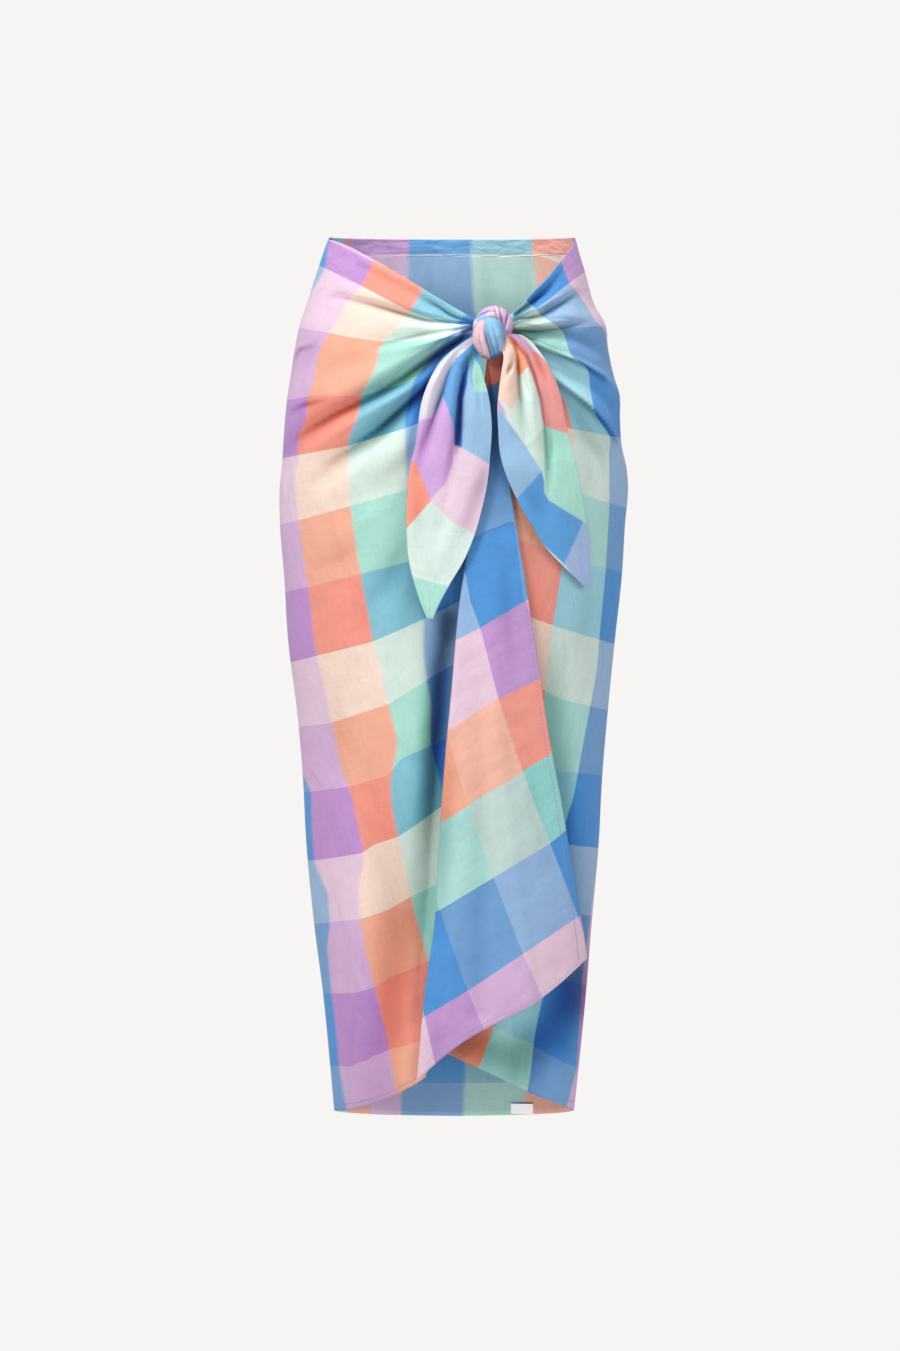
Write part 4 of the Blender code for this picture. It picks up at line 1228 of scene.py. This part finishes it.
def add_mesh(name, points, faces, chart, material):
    """A mesh with what its chart gives: the values of its layers, and its colours of dye and painted
    shade, or None.
    """
    layers, dye = chart
    mesh = bpy.data.meshes.new(name)
    mesh.from_pydata(points.tolist(), [], faces.tolist())
    for layer_name, values in layers.items():
        layer = mesh.uv_layers.new(name=layer_name)
        layer.data.foreach_set("uv", np.stack(values, axis=-1)[faces.ravel()].ravel())
    if dye is not None:
        layer = mesh.color_attributes.new("dye", "FLOAT_COLOR", "POINT")
        layer.data.foreach_set("color", dye.ravel())
    mesh.materials.append(material)
    mesh.shade_smooth()
    return add_object(name, mesh)


def grid_faces(grid):
    columns, rows = grid
    corner = (np.arange(rows)[:, None] * (columns + 1) + np.arange(columns)[None, :]).ravel()
    return np.stack([corner, corner + columns + 1, corner + columns + 2, corner + 1], axis=-1)


def grid_places(grid):
    columns, rows = grid
    across, fall = np.meshgrid(np.linspace(0, 1, columns + 1), np.linspace(0, 1, rows + 1))
    return across.ravel(), fall.ravel()


def add_sheet(name, place, chart, grid, material, wall=CLOTH_WALL):
    """A sheet of cloth: a fine grid placed by a function, with its colours and a thin wall."""
    across, fall = grid_places(grid)
    points = place(across, fall)
    piece = add_mesh(name, points, grid_faces(grid), chart(points, across, fall), material)
    thicken = piece.modifiers.new("Wall", "SOLIDIFY")
    thicken.thickness = wall * MM
    thicken.offset = -1
    return piece


def striped(chart, folds, creases, shades):
    """Reads a stretch's stripes from the chart of the photo."""
    def read(points, across, fall):
        return stripe_layers(*chart(*photo_place(points)), dark(points, folds, creases, shades))
    return read


def striped_back(points, across, fall):
    u, v = chart_back(across, -points[:, 2] / MM, photo_place(points)[1])
    return stripe_layers(u, v, dark(points, (), BACK_CREASES, BACK_PAINTED_LIGHT))


def stripe_layers(u, v, shades):
    thread = u * STRIPE_WIDTH, v * STRIPE_HEIGHT
    return {"check": (u, hem_tone(v)), "thread": thread, "shade": shades}, None


def dark(points, folds, creases, shades):
    """The shade layer's two values, the second of them spare."""
    depth = np.minimum(shade(points, folds, creases, shades), DARKEST)
    return depth, 0 * depth


def patched(base, patches, size, folds, shades):
    """Reads a small piece's dyes and painted shade from its patches over one base dye, and more painted
    shade from its folds and shades. Size is in mm of thread.
    """
    def read(points, across, fall):
        thread = across * size[0], fall * size[1]
        layers = {"thread": thread, "shade": dark(points, (), folds, shades)}
        return layers, patch_colours(base, patches, *photo_place(points))
    return read


def taped(points, across, fall):
    size = LABEL_X[1] - LABEL_X[0], LABEL_DOWN[1] - LABEL_DOWN[0]
    return {"check": (across, fall), "thread": (across * size[0], fall * size[1])}, None


def sphere(grid):
    """A unit sphere's points, as a grid whose first and last columns meet."""
    across, fall = grid_places(grid)
    turn, tilt = -across * 2 * math.pi, fall * math.pi
    girth = np.sin(tilt)
    points = np.stack([girth * np.cos(turn), girth * np.sin(turn), np.cos(tilt)], axis=-1)
    return points, across, fall


LUMP_GRID = (150, 120)


def add_lump(name, place, chart, material):
    """A rounded body of wound cloth."""
    unit, across, fall = sphere(LUMP_GRID)
    points = place(unit)
    return add_mesh(name, points, grid_faces(LUMP_GRID), chart(points, across, fall), material)


# Hem stitches: short rounded threads, a little in from each edge, that show on both faces.

STITCH_STEP = 3.4
STITCH_LENGTH = 1.0
STITCH_RADIUS = 0.42
STITCH_GRID = (6, 4)
SLIGHT = 0.0005


def add_stitches(name, place, edges, material):
    """One mesh of stitches. Each edge is two ends, as parts across and down, and a length in mm."""
    unit, across, fall = sphere(STITCH_GRID)
    ball_faces = grid_faces(STITCH_GRID)
    points, faces = [], []
    for start, finish, length in edges:
        count = int(length / STITCH_STEP)
        parts = (np.arange(count) + 0.5) / count
        span = finish[0] - start[0], finish[1] - start[1]
        across, fall = start[0] + span[0] * parts, start[1] + span[1] * parts
        step = span[0] * SLIGHT * 2, span[1] * SLIGHT * 2
        run = place(across + step[0], fall + step[1]) - place(across - step[0], fall - step[1])
        run /= np.linalg.norm(run, axis=1, keepdims=True)
        aside = place(across + SLIGHT, fall) - place(across - SLIGHT, fall)
        down = place(across, fall + SLIGHT) - place(across, fall - SLIGHT)
        out = np.cross(aside, down)
        out /= np.linalg.norm(out, axis=1, keepdims=True)
        side = np.cross(run, out)
        for centre, along, up, over in zip(place(across, fall), run, out, side):
            body = unit[:, :1] * over * STITCH_RADIUS + unit[:, 1:2] * up * STITCH_RADIUS
            body = body + unit[:, 2:] * along * STITCH_LENGTH
            faces.append(ball_faces + len(points) * len(unit))
            points.append(centre + body * MM)
    return add_mesh(name, np.concatenate(points), np.concatenate(faces), ({}, None), material)


checked = cotton_material("checked_cotton", DEEP + PALE + GREENER_MIDDLE, BLEED)
checked_under = cotton_material("checked_cotton_under", RIGHT_DEEP_LIGHTENED + PALE + MIDDLE, UNDER_BLEED)
checked_overlap = cotton_material("checked_cotton_overlap", OVERLAP_DEEP + OVERLAP_PALE + MIDDLE)
coloured = cotton_material("patched_cotton")
thread = plain_material("stitch_thread", STITCH_THREAD, THREAD_ROUGHNESS)


def dressed(node, piece):
    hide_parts(node)
    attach(piece, "root")
    return piece


def stitched(name, cloth, place, *edges):
    """Hem stitches that belong to their cloth."""
    stitches = add_stitches(name, place, edges, thread)
    stitches.parent = cloth
    return stitches


LEFT_GRID = (160, 300)
BACK_GRID = (130, 200)
UNDER_GRID = (150, 300)
OVERLAP_GRID = (110, 240)
TAIL_GRID = (120, 230)
LABEL_GRID = (24, 12)
TAIL_LEFT_SIZE = (75, 290)
TAIL_RIGHT_SIZE = (70, 260)
KNOT_SIZE = (90, 60)
BAND_SIZE = (50, 90)

# Stitched edges: two ends, as parts across and down the cloth, and a length in mm.
BACK_HEM_LINE = ((0.03, 0.9955), (0.97, 0.9955), 400)
BACK_WAIST_LINE = ((0.05, 0.045), (0.95, 0.045), 330)
LEFT_HEM_LINE = ((0.05, 0.994), (0.985, 0.994), 230)
UNDER_HEM_LINE = ((0.02, 0.994), (0.95, 0.994), 190)
OVERLAP_HEM_LINE = ((0.32, 0.992), (0.975, 0.992), 180)
OVERLAP_SIDE_LINE = ((0.965, 0.42), (0.965, 0.985), 400)

left_chart = striped(chart_left, LEFT_FOLDS, LEFT_CREASES, LEFT_SHADES + LEFT_LINES)
left_cloth = dressed("front_left_stretch", add_sheet(
    "cloth_front_left", front_left, left_chart, LEFT_GRID, checked))
back_cloth = dressed("back_stretch", add_sheet(
    "cloth_back", back, striped_back, BACK_GRID, checked))
under_chart = striped(chart_under, UNDER_FOLDS, UNDER_CREASES, UNDER_SHADES + UNDER_LINES)
under_cloth = dressed("front_right_under_stretch", add_sheet(
    "cloth_front_under", front_right, under_chart, UNDER_GRID, checked_under))
overlap_chart = striped(chart_overlap, OVERLAP_FOLDS, OVERLAP_CREASES, OVERLAP_SHADES)
overlap_cloth = dressed("overlap_stretch", add_sheet(
    "cloth_overlap", overlap, overlap_chart, OVERLAP_GRID, checked_overlap))
left_dyes = patched(
    "blue", TAIL_LEFT_PATCHES, TAIL_LEFT_SIZE, TAIL_LEFT_FOLDS, TAIL_LEFT_SHADES)
left_end = dressed("tail_left", add_sheet(
    "cloth_tail_left", tail_left, left_dyes, TAIL_GRID, coloured))
right_dyes = patched(
    "pale_mint", TAIL_RIGHT_PATCHES, TAIL_RIGHT_SIZE, TAIL_RIGHT_FOLDS, TAIL_RIGHT_SHADES)
right_end = dressed("tail_right", add_sheet(
    "cloth_tail_right", tail_right, right_dyes, TAIL_GRID, coloured))

knot_dyes = patched("steel", KNOT_PATCHES, KNOT_SIZE, KNOT_FOLDS, KNOT_SHADES)
knot = dressed("knot", add_lump("cloth_knot", knot_ball, knot_dyes, coloured))
band_dyes = patched("lilac", BAND_PATCHES, BAND_SIZE, BAND_FOLDS, BAND_SHADES)
band = add_lump("cloth_knot_band", knot_band, band_dyes, coloured)
band.parent = knot

tape = dressed("hem_label", add_sheet(
    "blank_label", label, taped, LABEL_GRID, label_material(), LABEL_WALL))

back_stitches = stitched("back_hem_stitches", back_cloth, back, BACK_HEM_LINE, BACK_WAIST_LINE)
left_stitches = stitched("left_hem_stitches", left_cloth, front_left, LEFT_HEM_LINE)
under_stitches = stitched("under_hem_stitches", under_cloth, front_right, UNDER_HEM_LINE)
overlap_stitches = stitched(
    "overlap_hem_stitches", overlap_cloth, overlap, OVERLAP_HEM_LINE, OVERLAP_SIDE_LINE)

# The studio: a pale floor and backdrop, soft light from the front left and above, and the camera.

FLOOR_DOWN = 1.28
FLOOR_REACH = 2.6
BACKDROP = (247, 245, 244)
WORLD_LIGHT = 0.42
LIT_POINT = (0, 0, -0.42)

# Each light: its name, place, size, power and tint.
LIGHTS = (
    ("key", (-1.6, -2.2, 1.9), 0.8, 62, (1.0, 0.985, 0.96)),
    ("top", (-0.2, -0.8, 2.3), 0.8, 40, (1.0, 1.0, 1.0)),
    ("fill", (2.4, -2.4, 0.3), 2.0, 26, (0.98, 0.99, 1.0)),
)


def add_stage():
    mesh = bpy.data.meshes.new("floor")
    corners = [(x * FLOOR_REACH, y * FLOOR_REACH, -FLOOR_DOWN)
               for x, y in ((-1, -1), (1, -1), (1, 1), (-1, 1))]
    mesh.from_pydata(corners, [], [(0, 1, 2, 3)])
    mesh.materials.append(plain_material("studio_floor", BACKDROP, FLOOR_ROUGHNESS))
    add_object("floor", mesh)


def add_light(name, place, size, power, tint):
    data = bpy.data.lights.new(name, "AREA")
    data.shape = "DISK"
    data.size = size
    data.energy = power
    data.color = tint
    lamp = add_object(name, data)
    lamp.location = place
    aim_x, aim_y, aim_z = (there - here for here, there in zip(place, LIT_POINT))
    tilt = math.atan2(math.hypot(aim_x, aim_y), -aim_z)
    lamp.rotation_euler = (tilt, 0, math.atan2(-aim_x, aim_y))


def add_camera():
    data = bpy.data.cameras.new("camera")
    data.sensor_fit = "HORIZONTAL"
    data.sensor_width = SENSOR
    data.lens = SENSOR * CAMERA_DISTANCE / PHOTO_WIDTH
    data.clip_end = CLIP_END
    camera = add_object("camera", data)
    camera.location = (CAMERA_X, -CAMERA_DISTANCE, CAMERA_Z)
    camera.rotation_euler = (math.pi / 2, 0, 0)
    bpy.context.scene.camera = camera


def add_world():
    world = bpy.data.worlds.new("studio")
    world.use_nodes = True
    tree = world.node_tree
    background = tree.nodes["Background"]
    background.inputs["Color"].default_value = colour(*BACKDROP)
    rays = tree.nodes.new("ShaderNodeLightPath")
    strength = tree.nodes.new("ShaderNodeMapRange")
    strength.inputs["To Min"].default_value = WORLD_LIGHT
    strength.inputs["To Max"].default_value = 1.0
    tree.links.new(rays.outputs["Is Camera Ray"], strength.inputs["Value"])
    tree.links.new(strength.outputs["Result"], background.inputs["Strength"])
    bpy.context.scene.world = world


bpy.context.scene.view_settings.view_transform = "Standard"
add_stage()
add_world()
for light in LIGHTS:
    add_light(*light)
add_camera()
